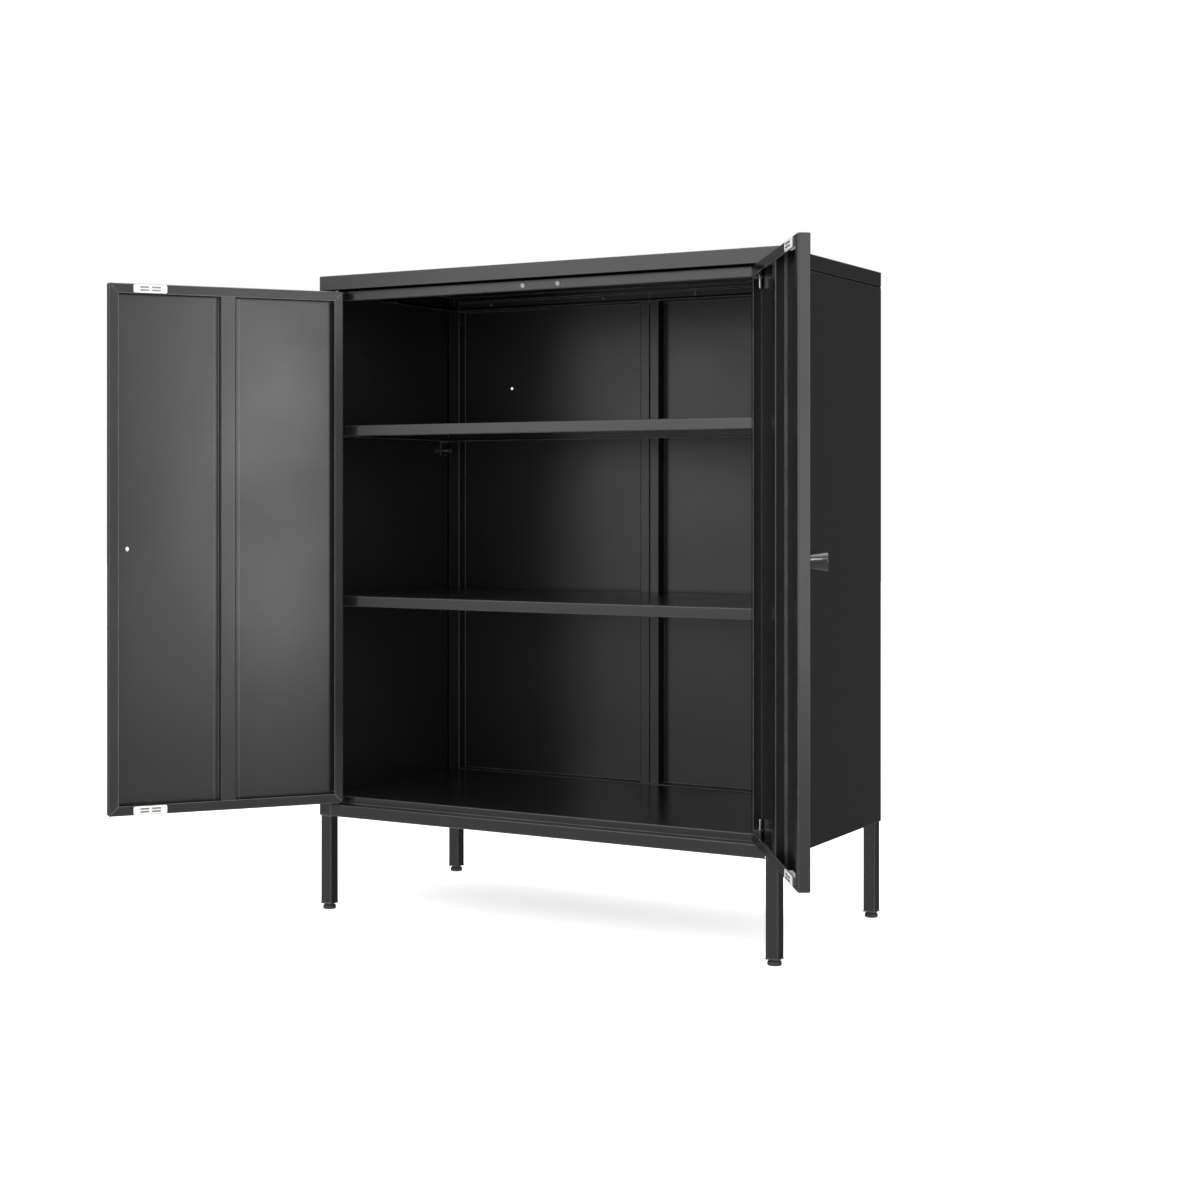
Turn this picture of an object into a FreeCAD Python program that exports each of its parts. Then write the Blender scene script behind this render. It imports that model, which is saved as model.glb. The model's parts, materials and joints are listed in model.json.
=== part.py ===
"""Sheet steel buffet cabinet: a folded carcass on four tube legs, two swing doors and two shelves.

Millimetres. +X to the right, +Y to the back, +Z up. The origin is on the floor under the middle of
the carcass. The doors stand open, as the cabinet is photographed.
"""
import FreeCAD, Part
import math
import os

Vector = FreeCAD.Vector
UP = Vector(0, 0, 1)
DOWN = Vector(0, 0, -1)
BACKWARD = Vector(0, 1, 0)
FORWARD = Vector(0, -1, 0)
RIGHT = Vector(1, 0, 0)

# Carcass
WIDTH = 800.0
DEPTH = 400.0
HEIGHT = 1015.0
LEG_ZONE = 150.0          # floor to the underside of the body
SHEET = 0.8               # carcass sheet
BEND = 1.2                # inside bend radius of every fold
POST = 22.0               # width of the side panels' front and rear flanges
SIDE_FLANGE = 17.0        # width of the side panels' upper and lower flanges
LEDGE = 19.0              # how far the rails stand behind the front, and the rear frame's depth
RIM = 24.0                # height of the top panel's rim
TOP_RAIL = 16.0           # drop of the inner rail under the rim
BOTTOM_RAIL = 20.0        # height of the outer rail under the doors
SILL = 11.5               # rise from the bottom ledge to the floor of the cabinet
HEM = 8.0                 # returned edge of a rail
SEAM = 0.5                # gap between a rail's end and the side panel
REAR_FLANGE = 13.0        # flange standing up from the top panel's rear ledge
PAN_LIP = 18.0            # lips of the bottom panel that lie on the side panels

# Back panels
BACK_INSET = 0.2          # back panels stand this far inside the rear plane
BACK_FIT = 0.3            # gap between a back panel and its frame
JOINT_GAP = 0.05          # from the middle plane to each back panel's flange
CENTRE_STRIP = 17.0       # front strip of each back panel beside the middle joint
BACK_LIP_GAP = 3.0        # back panel's lip to the side panel's skin
BACK_DROP = 3.5           # top of the back panels' recess below the rim
BACK_RAISE = 1.0          # bottom of the back panels' recess above the cabinet's floor
BACK_TOP_LIP = 13.5
ANCHOR_RADIUS = 2.5       # hole for a wall strap
ANCHOR_X = 279.0
ANCHOR_Z = 850.0

# Shelves and their brackets
SHELF_DEEP = 17.5         # height of a shelf's folded edge
SHELF_LIP = 10.0
SHELF_GAP = 3.0           # shelf to the side panels' skin
SHELF_SETBACK = 5.0       # shelf behind the rails and before the back panels
LOWER_BOLT_Z = 468.8
BOLT_PITCH = 45.6
SHELF_STEPS = 6
BRACKET_RISE = 16.0       # bolt to the bracket's seat
BRACKET_TAIL = 9.0        # bracket below the bolt
BRACKET_SHEET = 1.5
BRACKET_REACH = 21.0
BRACKET_WIDTH = 20.0
BRACKET_INSET = 1.0       # bracket behind the shelf's edge
STUD_RADIUS = 2.5
THUMB_NUT_RADIUS = 4.3
THUMB_NUT_LENGTH = 14.0
THUMB_NUT_GROOVE = 0.7

# Doors
DOOR_SHEET = 0.9
DOOR_THICKNESS = 16.5
DOOR_LIP = 15.0
HINGE_GAP = 3.0           # door to the side panel
MIDDLE_GAP = 3.0          # between the closed doors
DOOR_END_GAP = 2.5        # door to the rim above and to the rail below
MITRE_SLIT = 0.8
LEFT_OPEN = 127.0         # degrees from closed
RIGHT_OPEN = 123.0
STIFFENER_FACE = 25.0
STIFFENER_FLANGE = 8.0
STIFFENER_GAP = 0.3       # stiffener's face behind the door's lips

# Door pivots
PIN_RADIUS = 2.5
PIN_INSET = 7.0           # door's hinge edge to the pin's axis
PIN_BACK = 5.0            # door's face to the pin's axis
PIN_ENGAGE = 5.0          # pin past the ledge
PIN_TAIL = 14.0           # pin past its bracket
PIN_CHAMFER = 0.75
PIN_COLLAR_RADIUS = 3.6
PIN_COLLAR = 2.0
PIN_PLAY = 0.05
HINGE_SHEET = 1.5
HINGE_DROP = 16.0         # bracket's shelf inside the door's end wall
HINGE_REACH = 13.0
BUSH_WALL = 0.9
BUSH_FLANGE_RADIUS = 4.4
BUSH_FLANGE = 1.2
BUSH_SPIGOT = 2.0         # spigot past the ledge
BUSH_FIT = 0.1

# Magnetic catches and bumpers
CATCH_FROM_EDGE = 64.0    # door's free edge to the middle of a catch
CATCH_LENGTH = 52.0
CATCH_HEIGHT = 13.0
CATCH_PLATE = 1.2
CATCH_CORNER = 2.4
CATCH_BODY_LENGTH = 45.0
CATCH_BODY_HEIGHT = 9.6
CATCH_BODY_DEPTH = 9.0
CATCH_FIT = 0.2
POLE_LENGTH = 13.0
POLE_THICK = 1.2
POLE_ROWS = 4.6           # between the two rows of pole plates
POLE_COLUMNS = 18.0       # between the two columns
POLE_PROUD = 0.7
BUMPER_RADIUS = 4.0
BUMPER_PROUD = 2.2
BUMPER_X = 30.6

# Knobs
KNOB_FROM_EDGE = 31.0
KNOB_LENGTH = 27.0
KNOB_BASE_RADIUS = 8.3
KNOB_END_RADIUS = 12.4
KNOB_ROUND = 2.0
KNOB_BORE_DEPTH = 12.0
KNOB_BORE_SPARE = 1.0     # bore past the screw's tip

# Legs and levelling feet
LEG_SIZE = 20.0
LEG_WALL = 1.2
LEG_CORNER = 2.0
LEG_INSET_X = 2.5
LEG_INSET_Y = 1.0
LEG_PLATE = 3.0
CAP_PROUD = 0.4
CAP_FLANGE = 1.6
CAP_SPIGOT = 14.0
CAP_FIT = 0.2
FOOT_HEIGHT = 8.8
FOOT_RADIUS = 10.2
FOOT_NECK_RADIUS = 7.4
FOOT_NECK = 2.6           # height of the neck
FOOT_EDGE = 1.6           # rounding of the disc's edges
STEM_RADIUS = 4.0
STEM_LENGTH = 30.0
STEM_PLAY = 0.05

# Fasteners
LEG_BOLT_RADIUS = 3.0
LEG_BOLT_LENGTH = 15.0
LEG_BOLT_HEAD_RADIUS = 5.5
LEG_BOLT_HEAD = 4.0
SCREW_RADIUS = 2.0
SCREW_LENGTH = 7.0
SCREW_HEAD_RADIUS = 4.0
SCREW_HEAD = 2.4
SCREW_FIT = 0.1
PANEL_SCREW_SPREAD = 140.0
PANEL_SCREW_EDGE = 9.0    # side face to the panel screws
BACK_SCREW_NEAR = 86.0
BACK_SCREW_FAR = 309.0
JOINT_SCREW_SPREAD = 250.0
DRIVE_RADIUS = 1.3        # recess in a screw's head
DRIVE_DEPTH = 1.2

# Places that follow from the sizes above
SIDE = WIDTH / 2
FRONT = -DEPTH / 2
REAR = DEPTH / 2
BODY_TOP = HEIGHT - RIM               # underside of the rim
RAIL_FACE = FRONT + LEDGE             # face of the recessed rails
FRAME_FACE = REAR - LEDGE             # face of the rear frame
BOTTOM_LEDGE = LEG_ZONE + BOTTOM_RAIL
FLOOR = BOTTOM_LEDGE + SILL
OPENING_SIDE = SIDE - POST            # half width between the side panels' flanges
OUTER_BEND = BEND + SHEET
SKIN = SIDE - SHEET                   # inner face of a side panel's skin
DOOR_WIDTH = (WIDTH - 2 * POST - 2 * HINGE_GAP - MIDDLE_GAP) / 2
DOOR_HINGE_X = -(OPENING_SIDE - HINGE_GAP)
DOOR_FREE_X = DOOR_HINGE_X + DOOR_WIDTH
DOOR_BOTTOM = BOTTOM_LEDGE + DOOR_END_GAP
DOOR_TOP = BODY_TOP - DOOR_END_GAP
DOOR_BACK = FRONT + DOOR_THICKNESS
DOOR_MIDDLE_Z = (DOOR_BOTTOM + DOOR_TOP) / 2
PIN_X = DOOR_HINGE_X + PIN_INSET
PIN_Y = FRONT + PIN_BACK
BUSH_RADIUS = PIN_RADIUS + PIN_PLAY + BUSH_WALL
KNOB_X = DOOR_FREE_X - KNOB_FROM_EDGE
CATCH_X = DOOR_FREE_X - CATCH_FROM_EDGE
LEG_X = SIDE - LEG_INSET_X - LEG_SIZE / 2
LEG_Y = REAR - LEG_INSET_Y - LEG_SIZE / 2
LEG_BASE = FOOT_HEIGHT + CAP_FLANGE
PANEL_SCREW_X = SIDE - PANEL_SCREW_EDGE
PANEL_SCREW_YS = (-PANEL_SCREW_SPREAD, 0.0, PANEL_SCREW_SPREAD)
BACK_SCREW_XS = (-BACK_SCREW_FAR, -BACK_SCREW_NEAR, BACK_SCREW_NEAR, BACK_SCREW_FAR)
BACK_TOP = BODY_TOP - BACK_DROP
BACK_BOTTOM = FLOOR + BACK_RAISE
TOP_SCREW_Z = BODY_TOP + SHEET + SCREW_HEAD_RADIUS
LOW_SCREW_Z = (LEG_ZONE + SHEET + BACK_BOTTOM) / 2
BRACKET_BOLT_ZS = (LOWER_BOLT_Z, LOWER_BOLT_Z + SHELF_STEPS * BOLT_PITCH)
HOLE = SCREW_RADIUS + SCREW_FIT
SHELF_FRONT = RAIL_FACE + SHELF_SETBACK
SHELF_REAR = FRAME_FACE - SHEET - SHELF_SETBACK


# Basic shapes

def box(x0, x1, y0, y1, z0, z1):
    return Part.makeBox(x1 - x0, y1 - y0, z1 - z0, Vector(x0, y0, z0))


def rounded_box(x0, x1, y0, y1, z0, z1, radius):
    solid = box(x0, x1, y0, y1, z0, z1)
    return solid.makeFillet(radius, solid.Edges)


def hollow(x0, x1, y0, y1, z0, z1, sheet):
    """A closed folded box of sheet, with bent edges."""
    outer = rounded_box(x0, x1, y0, y1, z0, z1, BEND + sheet)
    inner = rounded_box(x0 + sheet, x1 - sheet, y0 + sheet, y1 - sheet, z0 + sheet, z1 - sheet, BEND)
    return outer.cut(inner)


def rod(radius, length, start, direction):
    return Part.makeCylinder(radius, length, start, direction)


def turned(points, start, direction):
    """A turned solid: (radius, height) points from start along direction."""
    outline = Part.makePolygon([Vector(r, 0, h) for r, h in points + points[:1]])
    solid = Part.Face(outline).revolve(Vector(0, 0, 0), UP, 360)
    turn = FreeCAD.Rotation(UP, direction)
    solid.Placement = FreeCAD.Placement(start, turn)
    return solid


def folded(points, sheet, place, sweep):
    """A bent strip of sheet: its middle line as points, put in space by place, extruded by sweep."""
    middle = BEND + sheet / 2
    flat = [Vector(u, v, 0) for u, v in points]
    sides = {1: [], -1: []}
    for side in sides:
        first = (flat[1] - flat[0]).normalize()
        last = flat[0] + Vector(-first.y, first.x, 0) * (side * sheet / 2)
        for before, corner, after in zip(flat, flat[1:], flat[2:]):
            d1 = (corner - before).normalize()
            d2 = (after - corner).normalize()
            n1 = Vector(-d1.y, d1.x, 0)
            n2 = Vector(-d2.y, d2.x, 0)
            turn = 1 if d1.x * d2.y - d1.y * d2.x > 0 else -1
            half = math.acos(max(-1.0, min(1.0, d1.dot(d2)))) / 2
            centre = corner - d1 * (middle * math.tan(half)) + n1 * (turn * middle)
            radius = middle - side * turn * sheet / 2
            start = centre - n1 * (turn * radius)
            end = centre - n2 * (turn * radius)
            crown = centre + (corner - centre).normalize() * radius
            sides[side].append(Part.LineSegment(place(last), place(start)).toShape())
            sides[side].append(Part.Arc(place(start), place(crown), place(end)).toShape())
            last = end
        d = (flat[-1] - flat[-2]).normalize()
        tip = flat[-1] + Vector(-d.y, d.x, 0) * (side * sheet / 2)
        sides[side].append(Part.LineSegment(place(last), place(tip)).toShape())
    edges = sides[1] + sides[-1]
    for end in (0, -1):
        a, b = (sides[s][end].Vertexes[end].Point for s in (1, -1))
        edges.append(Part.LineSegment(a, b).toShape())
    wire = Part.Wire(Part.__sortEdges__(edges))
    return Part.Face(wire).extrude(sweep)


def fold_yz(points, sheet, x0, x1):
    return folded(points, sheet, lambda p: Vector(x0, p.x, p.y), Vector(x1 - x0, 0, 0))


def fold_xy(points, sheet, z0, z1):
    return folded(points, sheet, lambda p: Vector(p.x, p.y, z0), Vector(0, 0, z1 - z0))


def fold_xz(points, sheet, y0, y1):
    return folded(points, sheet, lambda p: Vector(p.x, y0, p.y), Vector(0, y1 - y0, 0))


def fused(shapes):
    return shapes[0].multiFuse(shapes[1:]).removeSplitter()


def mirrored(shape):
    return shape.mirror(Vector(0, 0, 0), RIGHT)


def screw(seat, direction, length):
    """A pan head screw: its head stands on seat, its shank runs along direction."""
    head_points = [(0, 0), (SCREW_HEAD_RADIUS, 0), (SCREW_HEAD_RADIUS, SCREW_HEAD * 0.4),
                   (SCREW_HEAD_RADIUS * 0.7, SCREW_HEAD), (0, SCREW_HEAD)]
    head = turned(head_points, seat, direction * -1)
    recess = rod(DRIVE_RADIUS, DRIVE_DEPTH, seat - direction * SCREW_HEAD, direction)
    return head.cut(recess).fuse(rod(SCREW_RADIUS, length, seat, direction)).removeSplitter()


# Carcass panels

def top_panel():
    """Folded cap: rim, ledge all round, a rail hanging at the front and a flange at the rear."""
    half = SHEET / 2
    ledge = BODY_TOP + half
    shell = hollow(-SIDE, SIDE, FRONT, REAR, BODY_TOP, HEIGHT, SHEET)
    reach = POST - OUTER_BEND
    overlap = 2 * OUTER_BEND
    window = box(-SIDE + reach, SIDE - reach, RAIL_FACE - overlap, FRAME_FACE + overlap,
                 BODY_TOP - SHEET, BODY_TOP + 2 * SHEET)
    rail = fold_yz([(RAIL_FACE - 2 * overlap, ledge), (RAIL_FACE + half, ledge),
                    (RAIL_FACE + half, BODY_TOP - TOP_RAIL + half),
                    (RAIL_FACE + half + HEM, BODY_TOP - TOP_RAIL + half)],
                   SHEET, -OPENING_SIDE + SEAM, OPENING_SIDE - SEAM)
    flange = fold_yz([(FRAME_FACE + 2 * overlap, ledge), (FRAME_FACE + half, ledge),
                      (FRAME_FACE + half, BODY_TOP + REAR_FLANGE)],
                     SHEET, -OPENING_SIDE + SEAM, OPENING_SIDE - SEAM)
    panel = fused([shell.cut(window), rail, flange])
    holes = [rod(BUSH_RADIUS + BUSH_FIT, 3 * SHEET, Vector(s * PIN_X, PIN_Y, BODY_TOP - SHEET), UP)
             for s in (1, -1)]
    holes += [rod(HOLE, 3 * SHEET, Vector(s * PANEL_SCREW_X, y, BODY_TOP - SHEET), UP)
              for s in (1, -1) for y in PANEL_SCREW_YS]
    holes += [rod(HOLE, 3 * SHEET, Vector(x, FRAME_FACE - SHEET, TOP_SCREW_Z), BACKWARD)
              for x in BACK_SCREW_XS]
    return panel.cut(holes)


def side_panel():
    """Left side: a skin with closed front and rear posts and flanges above and below."""
    shell = hollow(-SIDE, -OPENING_SIDE, FRONT, REAR, LEG_ZONE, BODY_TOP, SHEET)
    window = box(-SIDE + SIDE_FLANGE, SIDE, RAIL_FACE, FRAME_FACE, 0, HEIGHT)
    holes = [rod(HOLE, 3 * SHEET, Vector(-PANEL_SCREW_X, y, z - SHEET), UP)
             for y in PANEL_SCREW_YS for z in (LEG_ZONE, BODY_TOP - SHEET)]
    holes += [rod(LEG_BOLT_RADIUS + SCREW_FIT, 3 * SHEET, Vector(-LEG_X, s * LEG_Y, LEG_ZONE - SHEET),
                  UP) for s in (1, -1)]
    return shell.cut([window] + holes)


def bottom_panel():
    """Floor pan with its sill, the ledge under the doors and the outer rail."""
    half = SHEET / 2
    reach = SKIN - SEAM
    rear = FRAME_FACE - SHEET
    shell = hollow(-reach, reach, RAIL_FACE, rear, LEG_ZONE + SHEET, FLOOR, SHEET)
    window = box(-reach + PAN_LIP, reach - PAN_LIP, RAIL_FACE + HEM, rear - HEM, 0, FLOOR - 2 * SHEET)
    ledge = BOTTOM_LEDGE - half
    rail = fold_yz([(RAIL_FACE + half, ledge), (FRONT + half, ledge), (FRONT + half, LEG_ZONE + half),
                    (FRONT + half + HEM, LEG_ZONE + half)],
                   SHEET, -OPENING_SIDE + SEAM, OPENING_SIDE - SEAM)
    panel = fused([shell.cut(window), rail])
    holes = [rod(BUSH_RADIUS + BUSH_FIT, 3 * SHEET, Vector(s * PIN_X, PIN_Y, BOTTOM_LEDGE - 2 * SHEET),
                 UP) for s in (1, -1)]
    holes += [rod(HOLE, 3 * SHEET, Vector(s * PANEL_SCREW_X, y, LEG_ZONE), UP)
              for s in (1, -1) for y in PANEL_SCREW_YS]
    holes += [rod(HOLE, 3 * SHEET, Vector(x, rear - 2 * SHEET, LOW_SCREW_Z), BACKWARD)
              for x in BACK_SCREW_XS]
    return panel.cut(holes)


def back_panel():
    """Left back: a recessed sheet with walls coming forward and lips turned out over the frame."""
    half = SHEET / 2
    lip = FRAME_FACE - half
    back = REAR - BACK_INSET - half
    wall = -OPENING_SIDE + BEND + BACK_FIT + half
    strip = -CENTRE_STRIP - JOINT_GAP
    joint = -JOINT_GAP - half
    edge = -SKIN + BACK_LIP_GAP
    sheet = fold_xy([(edge, lip), (wall, lip), (wall, back), (strip, back), (strip, lip), (joint, lip),
                     (joint, back - half)], SHEET, BACK_BOTTOM, BACK_TOP)
    turn = 3 * OUTER_BEND
    head = fold_yz([(back, BACK_TOP - turn), (back, BACK_TOP - half), (lip, BACK_TOP - half),
                    (lip, BACK_TOP + BACK_TOP_LIP)], SHEET, wall, strip)
    foot = fold_yz([(back, BACK_BOTTOM + turn), (back, BACK_BOTTOM + half), (lip, BACK_BOTTOM + half),
                    (lip, LEG_ZONE + 2 * SHEET)], SHEET, wall, strip)
    lip_top = BACK_TOP + BACK_TOP_LIP
    lip_bottom = LEG_ZONE + 2 * SHEET
    frame_top = BODY_TOP - SHEET - SEAM
    corners = [box(x0, x1, lip - half, lip + half, z0, z1)
               for x0, x1, top in ((edge, wall, frame_top), (strip, joint + half, lip_top))
               for z0, z1 in ((BACK_TOP, top), (lip_bottom, BACK_BOTTOM))]
    panel = fused([sheet, head, foot] + corners)
    near = [x for x in BACK_SCREW_XS if x < 0]
    holes = [rod(HOLE, 3 * SHEET, Vector(x, lip - SHEET, z), BACKWARD)
             for x in near for z in (TOP_SCREW_Z, LOW_SCREW_Z)]
    holes.append(rod(ANCHOR_RADIUS, 3 * SHEET, Vector(-ANCHOR_X, back - SHEET, ANCHOR_Z), BACKWARD))
    holes += [rod(HOLE, 3 * SHEET, Vector(joint - SHEET, joint_screw_y(), z), RIGHT)
              for z in joint_screw_zs()]
    return panel.cut(holes)


def joint_screw_y():
    return (FRAME_FACE + REAR) / 2


def joint_screw_zs():
    middle = (BACK_BOTTOM + BACK_TOP) / 2
    return [middle + n * JOINT_SCREW_SPREAD for n in (-1, 0, 1)]


# Shelves

def shelf(bolt_z):
    """Folded shelf, lying on its brackets."""
    seat = bolt_z + BRACKET_RISE
    reach = SKIN - SHELF_GAP
    shell = hollow(-reach, reach, SHELF_FRONT, SHELF_REAR, seat, seat + SHELF_DEEP, SHEET)
    window = box(-reach + SHELF_LIP, reach - SHELF_LIP, SHELF_FRONT + SHELF_LIP, SHELF_REAR - SHELF_LIP,
                 seat - SHEET, seat + 2 * SHEET)
    return shell.cut(window)


def bracket_places():
    inset = BRACKET_INSET + BRACKET_WIDTH / 2
    return [(y, z) for z in BRACKET_BOLT_ZS for y in (SHELF_FRONT + inset, SHELF_REAR - inset)]


def shelf_brackets():
    """Left brackets: angles that stand on the side panel's skin."""
    half = BRACKET_SHEET / 2
    solids = []
    for y, z in bracket_places():
        seat = z + BRACKET_RISE
        angle = fold_xz([(-SKIN + half, z - BRACKET_TAIL), (-SKIN + half, seat - half),
                         (-SKIN + BRACKET_REACH, seat - half)],
                        BRACKET_SHEET, y - BRACKET_WIDTH / 2, y + BRACKET_WIDTH / 2)
        hole = rod(STUD_RADIUS + SCREW_FIT, 3 * BRACKET_SHEET, Vector(-SKIN - half, y, z), RIGHT)
        solids.append(angle.cut(hole))
    return Part.makeCompound(solids)


def bracket_nuts():
    """Left thumb nuts on the studs of the side panel's skin."""
    solids = []
    groove = THUMB_NUT_RADIUS - THUMB_NUT_GROOVE
    shoulder = THUMB_NUT_LENGTH * 0.62
    for y, z in bracket_places():
        outline = [(0, 0), (STUD_RADIUS, 0), (STUD_RADIUS, BRACKET_SHEET), (THUMB_NUT_RADIUS, BRACKET_SHEET),
                   (THUMB_NUT_RADIUS, BRACKET_SHEET + shoulder), (groove, BRACKET_SHEET + shoulder),
                   (groove, BRACKET_SHEET + shoulder + THUMB_NUT_GROOVE),
                   (THUMB_NUT_RADIUS, BRACKET_SHEET + shoulder + THUMB_NUT_GROOVE),
                   (THUMB_NUT_RADIUS, BRACKET_SHEET + THUMB_NUT_LENGTH),
                   (0, BRACKET_SHEET + THUMB_NUT_LENGTH)]
        solids.append(turned(outline, Vector(-SKIN, y, z), RIGHT))
    return Part.makeCompound(solids)


# Doors, made closed on the left and then turned or mirrored

def mitre_slits():
    """Cuts along the mitres of a door's lips."""
    slits = []
    inset = 2 * (BEND + DOOR_SHEET)
    length = (DOOR_LIP - inset) * math.sqrt(2) + MITRE_SLIT
    for x, dx in ((DOOR_HINGE_X, 1), (DOOR_FREE_X, -1)):
        for z, dz in ((DOOR_BOTTOM, 1), (DOOR_TOP, -1)):
            slit = box(0, length, DOOR_BACK - 2 * DOOR_SHEET, DOOR_BACK + DOOR_SHEET,
                       -MITRE_SLIT / 2, MITRE_SLIT / 2)
            angle = -math.degrees(math.atan2(dz, dx))
            slit.rotate(Vector(0, 0, 0), BACKWARD, angle)
            slit.translate(Vector(x + dx * inset, 0, z + dz * inset))
            slits.append(slit)
    return slits


def catch_places():
    return [DOOR_TOP - DOOR_LIP / 2, DOOR_BOTTOM + DOOR_LIP / 2]


def door_panel():
    """Folded door with lips turned in at the back, mitred at the corners."""
    shell = hollow(DOOR_HINGE_X, DOOR_FREE_X, FRONT, DOOR_BACK, DOOR_BOTTOM, DOOR_TOP, DOOR_SHEET)
    window = box(DOOR_HINGE_X + DOOR_LIP, DOOR_FREE_X - DOOR_LIP, DOOR_BACK - 2 * DOOR_SHEET,
                 DOOR_BACK + DOOR_SHEET, DOOR_BOTTOM + DOOR_LIP, DOOR_TOP - DOOR_LIP)
    cuts = [window] + mitre_slits()
    half_length = CATCH_BODY_LENGTH / 2 + CATCH_FIT
    half_height = CATCH_BODY_HEIGHT / 2 + CATCH_FIT
    for z in catch_places():
        cuts.append(box(CATCH_X - half_length, CATCH_X + half_length, DOOR_BACK - 2 * DOOR_SHEET,
                        DOOR_BACK + DOOR_SHEET, z - half_height, z + half_height))
    cuts.append(rod(HOLE, 3 * DOOR_SHEET, Vector(KNOB_X, FRONT - DOOR_SHEET, DOOR_MIDDLE_Z), BACKWARD))
    for z in (DOOR_BOTTOM - DOOR_SHEET, DOOR_TOP - 2 * DOOR_SHEET):
        cuts.append(rod(PIN_RADIUS + PIN_PLAY, 3 * DOOR_SHEET, Vector(PIN_X, PIN_Y, z), UP))
    return shell.cut(cuts)


def door_stiffener():
    """Hat section standing on the door's front sheet, up the middle."""
    half = SHEET / 2
    middle = (DOOR_HINGE_X + DOOR_FREE_X) / 2
    seat = FRONT + DOOR_SHEET + half
    face = DOOR_BACK - DOOR_SHEET - STIFFENER_GAP - half
    wall = STIFFENER_FACE / 2 - half
    edge = STIFFENER_FACE / 2 + STIFFENER_FLANGE
    return fold_xy([(middle - edge, seat), (middle - wall, seat), (middle - wall, face),
                    (middle + wall, face), (middle + wall, seat), (middle + edge, seat)], SHEET,
                   DOOR_BOTTOM + DOOR_SHEET + BEND, DOOR_TOP - DOOR_SHEET - BEND)


def end_of_door(end):
    """Inner face of the door's end wall and the way from it into the door."""
    if end == "top":
        return DOOR_TOP - DOOR_SHEET, -1
    return DOOR_BOTTOM + DOOR_SHEET, 1


def hinge_bracket(end):
    """Angle on the hinge wall that carries the inner end of a pin."""
    wall, way = end_of_door(end)
    half = HINGE_SHEET / 2
    x = DOOR_HINGE_X + DOOR_SHEET + half
    shelf_z = wall + way * (HINGE_DROP + half)
    y0 = FRONT + DOOR_SHEET + BEND
    y1 = DOOR_BACK - DOOR_SHEET - BEND
    angle = fold_xz([(x, wall + way * BEND), (x, shelf_z), (x + HINGE_REACH, shelf_z)], HINGE_SHEET, y0, y1)
    start = Vector(PIN_X, PIN_Y, shelf_z - HINGE_SHEET)
    return angle.cut(rod(PIN_RADIUS + PIN_PLAY, 2 * HINGE_SHEET, start, UP))


def hinge_pin(end):
    """Steel pivot through the door's end wall, with a collar on its bracket."""
    wall, way = end_of_door(end)
    tail = wall + way * (HINGE_DROP + HINGE_SHEET + PIN_TAIL)
    ledge = BODY_TOP if end == "top" else BOTTOM_LEDGE
    tip = ledge - way * PIN_ENGAGE
    pin = rod(PIN_RADIUS, abs(tip - tail), Vector(PIN_X, PIN_Y, tail), Vector(0, 0, -way))
    rims = [edge for edge in pin.Edges if isinstance(edge.Curve, Part.Circle)]
    pin = pin.makeChamfer(PIN_CHAMFER, rims)
    collar_seat = Vector(PIN_X, PIN_Y, wall + way * (HINGE_DROP - PIN_COLLAR))
    collar = rod(PIN_COLLAR_RADIUS, PIN_COLLAR, collar_seat, Vector(0, 0, way))
    return pin.fuse(collar).removeSplitter()


def catch(z):
    """Plastic magnet holder: a plate on the door's lip and a body through it, with pole slots."""
    plate = box(CATCH_X - CATCH_LENGTH / 2, CATCH_X + CATCH_LENGTH / 2, DOOR_BACK, DOOR_BACK + CATCH_PLATE,
                z - CATCH_HEIGHT / 2, z + CATCH_HEIGHT / 2)
    corners = [edge for edge in plate.Edges if abs(edge.tangentAt(edge.FirstParameter).y) > 0.9]
    plate = plate.makeFillet(CATCH_CORNER, corners)
    body = box(CATCH_X - CATCH_BODY_LENGTH / 2, CATCH_X + CATCH_BODY_LENGTH / 2, DOOR_BACK - CATCH_BODY_DEPTH,
               DOOR_BACK, z - CATCH_BODY_HEIGHT / 2, z + CATCH_BODY_HEIGHT / 2)
    return plate.fuse(body).removeSplitter().cut([pole(x, row) for x, row in pole_places(z)])


def pole_places(z):
    return [(CATCH_X + c * POLE_COLUMNS / 2, z + r * POLE_ROWS / 2) for c in (-1, 1) for r in (-1, 1)]


def pole(x, z):
    return box(x - POLE_LENGTH / 2, x + POLE_LENGTH / 2, DOOR_BACK - CATCH_BODY_DEPTH / 2,
               DOOR_BACK + CATCH_PLATE + POLE_PROUD, z - POLE_THICK / 2, z + POLE_THICK / 2)


def catch_poles():
    """Steel pole plates of both catches of a door."""
    return Part.makeCompound([pole(x, row) for z in catch_places() for x, row in pole_places(z)])


def knob():
    """Turned knob, wider towards its outer end."""
    outline = [(0, 0), (KNOB_BASE_RADIUS, 0), (KNOB_END_RADIUS, KNOB_LENGTH), (0, KNOB_LENGTH)]
    seat = Vector(KNOB_X, FRONT, DOOR_MIDDLE_Z)
    solid = turned(outline, seat, FORWARD)
    circles = [edge for edge in solid.Edges if isinstance(edge.Curve, Part.Circle)]
    solid = solid.makeFillet(KNOB_ROUND, [max(circles, key=lambda edge: edge.Curve.Radius)])
    return solid.cut(rod(HOLE, KNOB_BORE_DEPTH, seat, FORWARD))


def knob_screw():
    seat = Vector(KNOB_X, FRONT + DOOR_SHEET, DOOR_MIDDLE_Z)
    return screw(seat, FORWARD, DOOR_SHEET + KNOB_BORE_DEPTH - KNOB_BORE_SPARE)


def opened(shape, side):
    """A left closed door piece, moved to its open place on the named side."""
    angle = -LEFT_OPEN if side == "left" else -RIGHT_OPEN
    turned_piece = shape.copy()
    turned_piece.rotate(Vector(PIN_X, PIN_Y, 0), UP, angle)
    return turned_piece if side == "left" else mirrored(turned_piece)


# Small pieces on the carcass

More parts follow.
